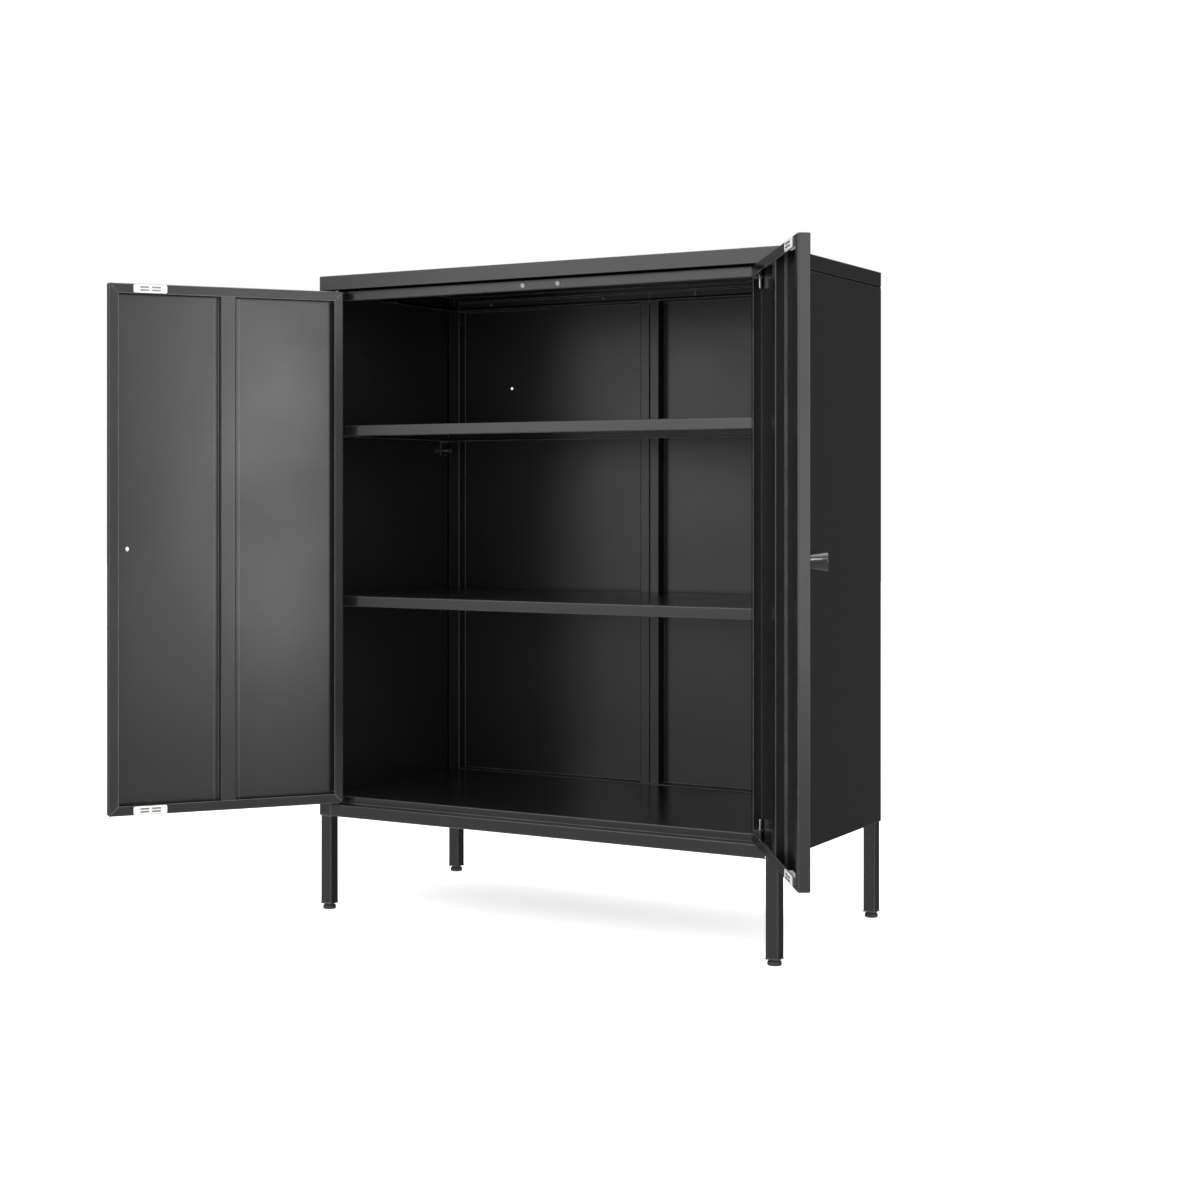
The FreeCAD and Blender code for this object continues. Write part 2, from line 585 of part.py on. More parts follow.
def bush(end):
    """Left nylon bush in a ledge, with a flange towards the door."""
    ledge, way = (BODY_TOP, 1) if end == "top" else (BOTTOM_LEDGE, -1)
    bore = PIN_RADIUS + PIN_PLAY
    outline = [(bore, -BUSH_FLANGE), (BUSH_FLANGE_RADIUS, -BUSH_FLANGE), (BUSH_FLANGE_RADIUS, 0),
               (BUSH_RADIUS, 0), (BUSH_RADIUS, SHEET + BUSH_SPIGOT), (bore, SHEET + BUSH_SPIGOT)]
    return turned(outline, Vector(PIN_X, PIN_Y, ledge), Vector(0, 0, way))


def bumpers():
    """Soft domes on the upper rail that the doors close against."""
    outline = [(0, 0), (BUMPER_RADIUS, 0), (BUMPER_RADIUS, BUMPER_PROUD * 0.45),
               (BUMPER_RADIUS * 0.72, BUMPER_PROUD * 0.86), (0, BUMPER_PROUD)]
    z = BODY_TOP - TOP_RAIL / 2
    return Part.makeCompound([turned(outline, Vector(x, RAIL_FACE, z), FORWARD)
                              for x in (-BUMPER_X, BUMPER_X)])


def leg(x, y):
    """Square tube with a threaded plate in its top."""
    half = LEG_SIZE / 2
    inner = half - LEG_WALL
    outer = box(x - half, x + half, y - half, y + half, LEG_BASE, LEG_ZONE)
    outer = outer.makeFillet(LEG_CORNER, upright(outer))
    bore = box(x - inner, x + inner, y - inner, y + inner, LEG_BASE - LEG_WALL, LEG_ZONE - LEG_PLATE)
    bolt_hole = rod(LEG_BOLT_RADIUS + SCREW_FIT, 3 * LEG_PLATE, Vector(x, y, LEG_ZONE - 2 * LEG_PLATE),
                    UP)
    return outer.cut([bore, bolt_hole])


def upright(solid):
    return [edge for edge in solid.Edges if abs(edge.tangentAt(edge.FirstParameter).z) > 0.9]


def leg_cap(x, y):
    """Plastic end cap: a flange under the tube, a plug inside it and a bore for the foot's stem."""
    half = LEG_SIZE / 2 + CAP_PROUD
    plug = LEG_SIZE / 2 - LEG_WALL - CAP_FIT
    flange = box(x - half, x + half, y - half, y + half, FOOT_HEIGHT, LEG_BASE)
    flange = flange.makeFillet(LEG_CORNER, upright(flange))
    body = box(x - plug, x + plug, y - plug, y + plug, LEG_BASE, LEG_BASE + CAP_SPIGOT)
    bore = rod(STEM_RADIUS + STEM_PLAY, LEG_BASE + 2 * CAP_SPIGOT, Vector(x, y, 0), UP)
    return flange.fuse(body).removeSplitter().cut(bore)


def levelling_foot(x, y):
    """Round foot on a threaded stem, screwed up against its cap."""
    disc_height = FOOT_HEIGHT - FOOT_NECK
    disc = rod(FOOT_RADIUS, disc_height, Vector(x, y, 0), UP)
    rims = [edge for edge in disc.Edges if edge.Length > 2 * math.pi * FOOT_NECK_RADIUS]
    disc = disc.makeFillet(FOOT_EDGE, rims)
    neck = rod(FOOT_NECK_RADIUS, FOOT_NECK, Vector(x, y, disc_height), UP)
    stem = rod(STEM_RADIUS, STEM_LENGTH, Vector(x, y, FOOT_HEIGHT), UP)
    return fused([disc, neck, stem])


def leg_places():
    return {"front_left": (-LEG_X, -LEG_Y), "front_right": (LEG_X, -LEG_Y),
            "rear_left": (-LEG_X, LEG_Y), "rear_right": (LEG_X, LEG_Y)}


def hex_bolt(x, y):
    seat = LEG_ZONE + SHEET
    corners = [Vector(x + LEG_BOLT_HEAD_RADIUS * math.cos(math.radians(60 * n)),
                      y + LEG_BOLT_HEAD_RADIUS * math.sin(math.radians(60 * n)), seat) for n in range(7)]
    head = Part.Face(Part.makePolygon(corners)).extrude(Vector(0, 0, LEG_BOLT_HEAD))
    shank = rod(LEG_BOLT_RADIUS, LEG_BOLT_LENGTH, Vector(x, y, seat), DOWN)
    return head.fuse(shank).removeSplitter()


def top_panel_screws():
    seat = BODY_TOP - SHEET
    return Part.makeCompound([screw(Vector(s * PANEL_SCREW_X, y, seat), UP, SCREW_LENGTH)
                              for s in (-1, 1) for y in PANEL_SCREW_YS])


def bottom_panel_screws():
    return Part.makeCompound([screw(Vector(s * PANEL_SCREW_X, y, LEG_ZONE), UP, SCREW_LENGTH)
                              for s in (-1, 1) for y in PANEL_SCREW_YS])


def back_panel_screws():
    """Screws through the back panels' lips: from inside above, from behind below."""
    upper = [screw(Vector(x, FRAME_FACE - SHEET, TOP_SCREW_Z), BACKWARD, SCREW_LENGTH)
             for x in BACK_SCREW_XS]
    lower = [screw(Vector(x, FRAME_FACE, LOW_SCREW_Z), FORWARD, SCREW_LENGTH) for x in BACK_SCREW_XS]
    return Part.makeCompound(upper + lower)


def back_joint_screws():
    seat = -JOINT_GAP - SHEET
    return Part.makeCompound([screw(Vector(seat, joint_screw_y(), z), RIGHT, SCREW_LENGTH)
                              for z in joint_screw_zs()])


def all_pieces():
    pieces = {"top_panel": top_panel(), "bottom_panel": bottom_panel()}
    for name, make in (("side_panel", side_panel), ("back_panel", back_panel),
                       ("shelf_brackets", shelf_brackets), ("bracket_nuts", bracket_nuts)):
        left = make()
        pieces["left_" + name] = left
        pieces["right_" + name] = mirrored(left)
    for end in ("top", "bottom"):
        left = bush(end)
        pieces["left_%s_bush" % end] = left
        pieces["right_%s_bush" % end] = mirrored(left)
    pieces["lower_shelf"] = shelf(BRACKET_BOLT_ZS[0])
    pieces["upper_shelf"] = shelf(BRACKET_BOLT_ZS[1])
    pieces["door_bumpers"] = bumpers()
    for corner, (x, y) in leg_places().items():
        pieces[corner + "_leg"] = leg(x, y)
        pieces[corner + "_leg_cap"] = leg_cap(x, y)
        pieces[corner + "_foot"] = levelling_foot(x, y)
    pieces["leg_bolts"] = Part.makeCompound([hex_bolt(x, y) for x, y in leg_places().values()])
    pieces["top_panel_screws"] = top_panel_screws()
    pieces["bottom_panel_screws"] = bottom_panel_screws()
    pieces["back_panel_screws"] = back_panel_screws()
    pieces["back_joint_screws"] = back_joint_screws()
    door = {"door_panel": door_panel(), "door_stiffener": door_stiffener(), "door_knob": knob(),
            "door_knob_screw": knob_screw(), "door_catch_poles": catch_poles()}
    for end, z in zip(("top", "bottom"), catch_places()):
        door["door_%s_catch" % end] = catch(z)
        door["door_%s_hinge_bracket" % end] = hinge_bracket(end)
        door["door_%s_hinge_pin" % end] = hinge_pin(end)
    for side in ("left", "right"):
        for name, shape in door.items():
            pieces["%s_%s" % (side, name)] = opened(shape, side)
    return pieces


def main():
    os.makedirs("parts", exist_ok=True)
    pieces = all_pieces()
    for name, shape in pieces.items():
        if not shape.isValid():
            raise ValueError("%s is not a valid shape" % name)
        shape.exportStep("parts/%s.step" % name)
    print(len(pieces), "pieces")


main()
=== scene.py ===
import bpy
import json
import math
from mathutils import Matrix, Vector

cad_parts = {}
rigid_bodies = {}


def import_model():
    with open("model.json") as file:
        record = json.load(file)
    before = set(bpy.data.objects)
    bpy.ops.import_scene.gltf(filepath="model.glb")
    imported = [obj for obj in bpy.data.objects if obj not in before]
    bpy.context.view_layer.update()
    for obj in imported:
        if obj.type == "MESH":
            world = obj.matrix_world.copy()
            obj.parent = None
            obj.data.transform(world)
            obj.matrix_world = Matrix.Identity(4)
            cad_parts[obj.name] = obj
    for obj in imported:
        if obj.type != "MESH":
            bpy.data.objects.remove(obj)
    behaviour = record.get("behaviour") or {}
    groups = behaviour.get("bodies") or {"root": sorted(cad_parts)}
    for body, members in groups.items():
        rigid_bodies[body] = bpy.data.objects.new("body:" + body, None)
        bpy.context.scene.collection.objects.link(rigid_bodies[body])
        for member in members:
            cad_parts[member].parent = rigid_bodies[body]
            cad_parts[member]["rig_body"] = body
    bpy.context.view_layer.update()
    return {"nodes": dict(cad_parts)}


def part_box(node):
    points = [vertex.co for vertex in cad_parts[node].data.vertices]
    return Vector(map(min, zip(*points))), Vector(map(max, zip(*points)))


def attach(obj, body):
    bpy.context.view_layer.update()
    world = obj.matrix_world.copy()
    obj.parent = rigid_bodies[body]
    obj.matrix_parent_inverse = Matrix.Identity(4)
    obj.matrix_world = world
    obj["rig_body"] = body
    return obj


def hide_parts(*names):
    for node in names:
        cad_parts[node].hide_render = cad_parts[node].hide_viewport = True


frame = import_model()
NODES = frame["nodes"]
SIDES = ("left", "right")
CORNERS = ("front_left", "front_right", "rear_left", "rear_right")

bl_info = {
    "name": "Steel buffet cabinet",
    "version": (1, 0, 0),
    "blender": (4, 5, 0),
    "location": "View3D > Sidebar > Buffet",
    "description": "Powder coat, hardware and studio for a folded steel buffet cabinet",
    "category": "Object",
}


# Units shared by the settings
COLOUR = {"size": 3, "subtype": "COLOR"}
SHARE = {"min": 0.0, "max": 1.0, "subtype": "FACTOR"}
LENGTH = {"subtype": "DISTANCE", "unit": "LENGTH", "precision": 4}
PLACE = {"size": 3, "subtype": "XYZ", "unit": "LENGTH"}
AREA = {"size": 2, "unit": "LENGTH"}
ANGLE = {"subtype": "ANGLE", "unit": "ROTATION"}

# Bands in which a mask rises from nothing to full
SMUDGE_BAND = (0.3, 0.7)        # noise of clear and of cloudy places
EDGE_BAND = (0.999, 0.982)      # how well the softened normal agrees with the face's own
BREAK_BAND = (0.35, 0.65)       # noise of rubbed and of fully rubbed patches
BREAK_SHARE = (0.6, 1.0)        # rub left in those patches
LIP_BAND = (0.004, 0.001)       # depth behind a door's inner face
SEAM_BAND = (1.0, 0.6)          # distance from the joint as a share of its reach

# Shading
EDGE_SAMPLES = 6                # rays that feel for an edge
WHITE = (1.0, 1.0, 1.0, 1.0)

# Picking and smoothing of modelled pieces
FACING = 0.9                    # least part of a normal along an axis for a face that looks that way
SQUARE = 0.99                   # the same for a face that looks straight that way
FAR_END = 0.9                   # share of a length past which a point is at its far end
SMOOTH_ANGLE = math.radians(35.0)
ROUND_STEPS = 5                 # segments of a rounded edge

# Fine shapes of the modelled pieces
HEAD_ROUND = 0.7                # share of a screw head's height
CROSS_DEPTH = 0.55              # share of a screw head's height
BUMPER_ROUND = 0.72             # share of a bumper's height
KNOB_ROUND = 0.0018             # rounding of the outer edge
KNOB_RIM = 0.0012               # flat ring of the outer end
KNOB_SLOPE = 0.0010             # width of the step inside that ring
KNOB_DISH = 0.0005              # depth of that step
CATCH_CORNER = 0.0024           # rounding of the plate's corners
CATCH_EDGE = 0.0004             # rounding of the plate's front edge
CATCH_RIM = 0.0005              # flat rim at the back of the plate
CATCH_MARK = (0.0052, 0.0005, 0.0052)   # length, depth and height of an end mark
MARK_X = 0.0208                 # middle of a catch to an end mark

# Wear of the fittings: smudges and breaks are counted to the metre, edge is the reach of a worn edge
METAL_WEAR = {"metallic": 1.0, "smudges": 70.0, "spread": 0.07, "edge": 0.0004, "breaks": 300.0, "rub": 1.0}
PLASTIC_WEAR = {"metallic": 0.0, "smudges": 90.0, "spread": 0.06, "edge": 0.0005, "breaks": 260.0, "rub": 0.6}
GRAIN_HEIGHT = 0.00002


# Settings

class CoatSettings(bpy.types.PropertyGroup):
    """The black powder coat of the carcass, shelves and doors."""
    carcass: bpy.props.FloatVectorProperty(
        name="Carcass colour", description="Coat of the carcass and the legs",
        default=(0.0080, 0.0080, 0.0083), **COLOUR)
    door: bpy.props.FloatVectorProperty(
        name="Door colour", description="Coat of the doors", default=(0.0088, 0.0086, 0.0085), **COLOUR)
    # Edge colour: partly the coat rubbed thin on the bends, partly a painted highlight for the bright lines
    # that the bends mirror
    edge: bpy.props.FloatVectorProperty(
        name="Edge colour", description="Coat rubbed thin on the bends, and painted highlight there",
        default=(0.180, 0.179, 0.177), **COLOUR)
    roughness: bpy.props.FloatProperty(
        name="Roughness", description="Satin sheen of the coat", default=0.23, **SHARE)
    shine: bpy.props.FloatProperty(
        name="Shine", description="Mirrored light", default=0.50, **SHARE)
    # The back panels' coat is rougher, and less shiny as painted shade for the inside of the cabinet
    back_roughness: bpy.props.FloatProperty(
        name="Back roughness", description="Flatter coat of the back panels", default=0.32, **SHARE)
    back_shine: bpy.props.FloatProperty(
        name="Back shine", description="Mirrored light on the back panels", default=0.44, **SHARE)
    sheen_spread: bpy.props.FloatProperty(
        name="Sheen spread", description="How far smudges change the roughness", default=0.05, **SHARE)
    smudge_scale: bpy.props.FloatProperty(
        name="Smudge scale", description="Smudges to the metre", default=4.0, min=0.0)
    # Rub also sets how strong the painted highlight on the bends is
    rub: bpy.props.FloatProperty(
        name="Rub", description="How far the edges are rubbed", default=0.8, **SHARE)
    rub_polish: bpy.props.FloatProperty(
        name="Rub polish", description="Roughness that a rubbed edge loses", default=0.08, **SHARE)
    rub_radius: bpy.props.FloatProperty(
        name="Rub radius", description="Reach of the rub round an edge", default=0.0012, **LENGTH)
    rub_scale: bpy.props.FloatProperty(
        name="Rub scale", description="Rubbed patches to the metre", default=45.0, min=0.0)
    # Painted shade: a near black colour for the gap under the top panel's rim, where shade falls
    seam_shade_colour: bpy.props.FloatVectorProperty(
        name="Seam shade colour", description="Painted shade in the joint under the top panel",
        default=(0.001, 0.001, 0.001), **COLOUR)
    seam: bpy.props.FloatProperty(
        name="Seam height", description="Joint of the top panel and the sides", default=0.991, **LENGTH)
    seam_reach: bpy.props.FloatProperty(
        name="Seam reach", description="How far the joint's shade reaches", default=0.0014, **LENGTH)
    peel_scale: bpy.props.FloatProperty(
        name="Peel scale", description="Grains of orange peel to the metre", default=900.0, min=1.0)
    peel_height: bpy.props.FloatProperty(
        name="Peel height", description="Depth of the orange peel", default=0.00001, subtype="DISTANCE",
        unit="LENGTH", precision=6)


class FittingSettings(bpy.types.PropertyGroup):
    """Metal and plastic fittings."""
    zinc: bpy.props.FloatVectorProperty(
        name="Zinc", description="Plating of pins, nuts and screws", default=(0.62, 0.61, 0.58), **COLOUR)
    gunmetal: bpy.props.FloatVectorProperty(
        name="Gunmetal", description="Plating of the knobs", default=(0.055, 0.053, 0.051), **COLOUR)
    # Darker than the zinc: partly duller steel, partly painted shade for the slots in which the poles sit
    pole: bpy.props.FloatVectorProperty(
        name="Poles", description="Steel poles of the catches", default=(0.20, 0.20, 0.20), **COLOUR)
    catch: bpy.props.FloatVectorProperty(
        name="Catch", description="White plastic of the catches", default=(0.60, 0.60, 0.585), **COLOUR)
    bumper: bpy.props.FloatVectorProperty(
        name="Bumper", description="Pale soft domes", default=(0.28, 0.28, 0.27), **COLOUR)
    plastic: bpy.props.FloatVectorProperty(
        name="Black plastic", description="Leg caps, feet and bushes",
        default=(0.018, 0.018, 0.018), **COLOUR)


class SizeSettings(bpy.types.PropertyGroup):
    """Sizes of the fittings that are modelled here."""
    head_radius: bpy.props.FloatProperty(
        name="Screw head radius", description="Pan head", default=0.0040, **LENGTH)
    head_height: bpy.props.FloatProperty(
        name="Screw head height", description="Pan head", default=0.0024, **LENGTH)
    shank_radius: bpy.props.FloatProperty(
        name="Screw shank radius", description="Plain shank", default=0.0020, **LENGTH)
    knob_shank: bpy.props.FloatProperty(
        name="Knob screw length", description="Shank of a knob's screw", default=0.0119, **LENGTH)
    panel_shank: bpy.props.FloatProperty(
        name="Panel screw length", description="Shank of a panel's screw", default=0.0070, **LENGTH)
    cross_width: bpy.props.FloatProperty(
        name="Cross width", description="Arms of the cross recess", default=0.0009, **LENGTH)
    cross_length: bpy.props.FloatProperty(
        name="Cross length", description="Arms of the cross recess", default=0.0046, **LENGTH)
    knob_base: bpy.props.FloatProperty(
        name="Knob base radius", description="At the door", default=0.0083, **LENGTH)
    knob_end: bpy.props.FloatProperty(
        name="Knob end radius", description="At the outer end", default=0.0124, **LENGTH)
    knob_length: bpy.props.FloatProperty(
        name="Knob length", description="Out from the door", default=0.0270, **LENGTH)
    catch_plate: bpy.props.FloatVectorProperty(
        name="Catch plate", description="Length, thickness and height",
        default=(0.0520, 0.0012, 0.0130), **PLACE)
    catch_body: bpy.props.FloatVectorProperty(
        name="Catch body", description="Length, depth and height", default=(0.0450, 0.0090, 0.0096), **PLACE)
    catch_slot: bpy.props.FloatVectorProperty(
        name="Catch slot", description="Length, depth and height of a slot",
        default=(0.0140, 0.0020, 0.0026), **PLACE)
    slot_columns: bpy.props.FloatProperty(
        name="Slot columns", description="Between the columns of slots", default=0.0180, **LENGTH)
    slot_rows: bpy.props.FloatProperty(
        name="Slot rows", description="Between the rows of slots", default=0.0046, **LENGTH)
    foot_radius: bpy.props.FloatProperty(
        name="Foot radius", description="Widest part", default=0.0102, **LENGTH)
    foot_rim: bpy.props.FloatProperty(
        name="Foot rim height", description="Height of the widest part", default=0.0062, **LENGTH)
    foot_round: bpy.props.FloatProperty(
        name="Foot rounding", description="Rounded edges of the widest part", default=0.0016, **LENGTH)
    foot_neck: bpy.props.FloatProperty(
        name="Foot neck radius", description="Under the leg's cap", default=0.0074, **LENGTH)
    foot_height: bpy.props.FloatProperty(
        name="Foot height", description="Floor to cap", default=0.0088, **LENGTH)
    stem_radius: bpy.props.FloatProperty(
        name="Stem radius", description="Threaded stem", default=0.0040, **LENGTH)
    bumper_radius: bpy.props.FloatProperty(
        name="Bumper radius", description="Dome", default=0.0040, **LENGTH)
    back_screw_x: bpy.props.FloatProperty(
        name="Back screw X", description="Middle of the cabinet to the inner back screws",
        default=0.086, **LENGTH)
    back_sheet: bpy.props.FloatProperty(
        name="Back sheet", description="Thickness of the back panels' sheet", default=0.0008, **LENGTH)


class PivotSettings(bpy.types.PropertyGroup):
    """Where the doors turn and how far they stand open."""
    pin_x: bpy.props.FloatProperty(
        name="Pin X", description="Middle of the cabinet to a hinge pin", default=0.368, **LENGTH)
    pin_y: bpy.props.FloatProperty(
        name="Pin Y", description="Depth of the hinge pins", default=-0.195, **LENGTH)
    left_open: bpy.props.FloatProperty(
        name="Left door", description="Open angle", default=math.radians(127.0), **ANGLE)
    right_open: bpy.props.FloatProperty(
        name="Right door", description="Open angle", default=math.radians(123.0), **ANGLE)
    front_y: bpy.props.FloatProperty(
        name="Door face Y", description="Outer face of a closed door", default=-0.200, **LENGTH)
    back_y: bpy.props.FloatProperty(
        name="Door lip Y", description="Inner face of a closed door", default=-0.1835, **LENGTH)
    knob_x: bpy.props.FloatProperty(
        name="Knob X", description="Middle of the cabinet to a knob, doors closed", default=0.0325, **LENGTH)
    catch_x: bpy.props.FloatProperty(
        name="Catch X", description="Middle of the cabinet to a catch, doors closed",
        default=0.0655, **LENGTH)
    hinge_edge: bpy.props.FloatProperty(
        name="Hinge edge X", description="Closed door's edge at its hinge", default=0.375, **LENGTH)
    free_edge: bpy.props.FloatProperty(
        name="Free edge X", description="Closed door's edge at the middle", default=0.0015, **LENGTH)
    lip: bpy.props.FloatProperty(
        name="Lip width", description="Lips round a door's inner face", default=0.015, **LENGTH)
    lip_slope: bpy.props.FloatProperty(
        name="Lip slope", description="Rise of a lip towards its free edge", default=0.06)
    sheet: bpy.props.FloatProperty(
        name="Door sheet", description="Thickness of a door's sheet", default=0.0009, **LENGTH)


class StageSettings(bpy.types.PropertyGroup):
    """Floor, light and camera."""
    floor: bpy.props.FloatVectorProperty(
        name="Floor colour", description="Plain pale floor", default=(0.80, 0.80, 0.80), **COLOUR)
    floor_size: bpy.props.FloatProperty(
        name="Floor size", description="Side of the square floor",
        default=24.0, subtype="DISTANCE", unit="LENGTH")
    floor_roughness: bpy.props.FloatProperty(
        name="Floor roughness", description="Flat finish of the floor", default=0.9, **SHARE)
    floor_glow: bpy.props.FloatVectorProperty(
        name="Floor glow", description="Near the cabinet and far from it", default=(0.62, 1.0), size=2)
    glow_reach: bpy.props.FloatVectorProperty(
        name="Glow reach", description="Where the glow starts and ends to rise", default=(1.2, 3.5), **AREA)
    key_place: bpy.props.FloatVectorProperty(
        name="Key place", description="Softbox at the front left", default=(-1.4, -3.9, 1.65), **PLACE)
    key_size: bpy.props.FloatVectorProperty(
        name="Key size", description="Width and height", default=(2.6, 2.6), **AREA)
    key_power: bpy.props.FloatProperty(
        name="Key power", description="Softbox at the front left", default=40.0, unit="POWER")
    side_place: bpy.props.FloatVectorProperty(
        name="Side place", description="Softbox at the right", default=(3.75, -1.65, 0.98), **PLACE)
    side_size: bpy.props.FloatVectorProperty(
        name="Side size", description="Width and height", default=(1.1, 1.9), **AREA)
    side_power: bpy.props.FloatProperty(
        name="Side power", description="Softbox at the right", default=31.0, unit="POWER")
    edge_place: bpy.props.FloatVectorProperty(
        name="Edge place", description="Tall softbox at the front right", default=(5.2, -5.5, 1.2), **PLACE)
    edge_size: bpy.props.FloatVectorProperty(
        name="Edge size", description="Width and height", default=(1.0, 3.0), **AREA)
    edge_power: bpy.props.FloatProperty(
        name="Edge power", description="Tall softbox at the front right", default=27.0, unit="POWER")
    high_place: bpy.props.FloatVectorProperty(
        name="High place", description="Softbox above the camera", default=(1.96, -3.37, 3.28), **PLACE)
    high_size: bpy.props.FloatVectorProperty(
        name="High size", description="Width and height", default=(0.7, 1.6), **AREA)
    high_power: bpy.props.FloatProperty(
        name="High power", description="Softbox above the camera", default=55.0, unit="POWER")
    top_place: bpy.props.FloatVectorProperty(
        name="Top place", description="Softbox above", default=(0.0, 0.3, 3.4), **PLACE)
    top_size: bpy.props.FloatVectorProperty(
        name="Top size", description="Width and depth", default=(2.6, 2.6), **AREA)
    top_power: bpy.props.FloatProperty(
        name="Top power", description="Softbox above", default=70.0, unit="POWER")
    aim_height: bpy.props.FloatProperty(
        name="Aim height", description="Height that the softboxes point at", default=0.55, **LENGTH)
    front: bpy.props.FloatVectorProperty(
        name="Studio front", description="Towards the bright side of the studio", default=(0.10, -0.97, 0.20),
        size=3, subtype="XYZ")
    room_glow: bpy.props.FloatVectorProperty(
        name="Studio glow", description="Behind the cabinet and in front of it", default=(0.10, 0.80), size=2)
    room_turn: bpy.props.FloatVectorProperty(
        name="Studio turn", description="Where the glow starts and ends to rise", default=(-0.6, 0.5), size=2)
    top_glow: bpy.props.FloatProperty(
        name="Ceiling glow", description="Above the cabinet", default=1.2)
    top_turn: bpy.props.FloatVectorProperty(
        name="Ceiling turn", description="Where that glow starts and ends to rise",
        default=(0.25, 0.6), size=2)
    low_glow: bpy.props.FloatProperty(
        name="Mirrored floor", description="White floor as the coat mirrors it", default=1.0)
    low_turn: bpy.props.FloatVectorProperty(
        name="Mirrored floor turn", description="Where it starts and ends to rise",
        default=(-0.32, -0.65), size=2)
    lens: bpy.props.FloatProperty(
        name="Lens", description="Focal length", default=60.48, unit="CAMERA")
    sensor: bpy.props.FloatProperty(
        name="Sensor", description="Width of the camera's sensor", default=36.0, unit="CAMERA")
    camera: bpy.props.FloatVectorProperty(
        name="Camera", description="Place of the camera", default=(1.5365, -2.8177, 0.6635), **PLACE)
    turn: bpy.props.FloatProperty(
        name="Camera turn", description="Turn to the left of straight on",
        default=math.radians(30.43), **ANGLE)
    shift: bpy.props.FloatVectorProperty(
        name="Camera shift", description="Framing of the photograph", default=(0.0555, -0.0872), size=2,
        precision=4)


class BuffetSettings(bpy.types.PropertyGroup):
    """All settings of the cabinet."""
    coat: bpy.props.PointerProperty(type=CoatSettings, name="Coat", description="Powder coat")
    fitting: bpy.props.PointerProperty(type=FittingSettings, name="Fittings",
                                       description="Colours of the fittings")
    size: bpy.props.PointerProperty(type=SizeSettings, name="Sizes", description="Sizes of the fittings")
    pivot: bpy.props.PointerProperty(type=PivotSettings, name="Pivots", description="Door pivots")
    stage: bpy.props.PointerProperty(type=StageSettings, name="Stage", description="Studio")


def settings():
    return bpy.context.scene.buffet


# Shader node groups

def new_group(name, inputs, outputs):
    """An empty shader group: inputs are (name, default value or point), outputs are names of values."""
    group = bpy.data.node_groups.new(name, "ShaderNodeTree")
    for label, default in inputs:
        kind = "NodeSocketVector" if isinstance(default, tuple) else "NodeSocketFloat"
        socket = group.interface.new_socket(label, in_out="INPUT", socket_type=kind)
        socket.default_value = default
    for label in outputs:
        group.interface.new_socket(label, in_out="OUTPUT", socket_type="NodeSocketFloat")
    start = group.nodes.new("NodeGroupInput")
    end = group.nodes.new("NodeGroupOutput")
    return group, start, end


def noise(tree, scale, detail):
    """Noise in the object's own space; its scale comes from another node."""
    texture = tree.nodes.new("ShaderNodeTexNoise")
    texture.inputs["Detail"].default_value = detail
    tree.links.new(scale, texture.inputs["Scale"])
    place = tree.nodes.new("ShaderNodeTexCoord")
    tree.links.new(place.outputs["Object"], texture.inputs["Vector"])
    return texture.outputs["Fac"]


def remap(tree, value, band, result=(0.0, 1.0)):
    """Maps a value from a band to the band of results, held at both ends."""
    span = tree.nodes.new("ShaderNodeMapRange")
    span.inputs["From Min"].default_value, span.inputs["From Max"].default_value = band
    span.inputs["To Min"].default_value, span.inputs["To Max"].default_value = result
    tree.links.new(value, span.inputs["Value"])
    return span.outputs["Result"]


def maths(tree, operation, first, second=0.0):
    """One step of arithmetic on numbers or on values from other nodes."""
    step = tree.nodes.new("ShaderNodeMath")
    step.operation = operation
    for socket, value in zip(step.inputs, (first, second)):
        if isinstance(value, (int, float)):
            socket.default_value = value
        else:
            tree.links.new(value, socket)
    return step.outputs["Value"]


def surface_grain():
    """Fine grain as height, and slow cloudy smudges as a mask."""
    coat = settings().coat
    inputs = [("Grain scale", coat.peel_scale), ("Smudge scale", coat.smudge_scale)]
    group, start, end = new_group("Surface grain", inputs, ["Grain", "Smudge"])
    grain = noise(group, start.outputs["Grain scale"], detail=2.0)
    smudge = noise(group, start.outputs["Smudge scale"], detail=4.0)
    group.links.new(grain, end.inputs["Grain"])
    group.links.new(remap(group, smudge, SMUDGE_BAND), end.inputs["Smudge"])


def edge_rub_and_highlight():
    """A mask of bends and cut edges, broken up a little: it places wear, and on the coat a painted highlight.
    """
    coat = settings().coat
    inputs = [("Radius", coat.rub_radius), ("Break scale", coat.rub_scale)]
    group, start, end = new_group("Edge rub", inputs, ["Edge"])
    soft = group.nodes.new("ShaderNodeBevel")
    soft.samples = EDGE_SAMPLES
    group.links.new(start.outputs["Radius"], soft.inputs["Radius"])
    flat = group.nodes.new("ShaderNodeNewGeometry")
    dot = group.nodes.new("ShaderNodeVectorMath")
    dot.operation = "DOT_PRODUCT"
    group.links.new(soft.outputs["Normal"], dot.inputs[0])
    group.links.new(flat.outputs["Normal"], dot.inputs[1])
    sharp = remap(group, dot.outputs["Value"], EDGE_BAND)
    broken = noise(group, start.outputs["Break scale"], detail=3.0)
    patches = remap(group, broken, BREAK_BAND, BREAK_SHARE)
    group.links.new(maths(group, "MULTIPLY", sharp, patches), end.inputs["Edge"])


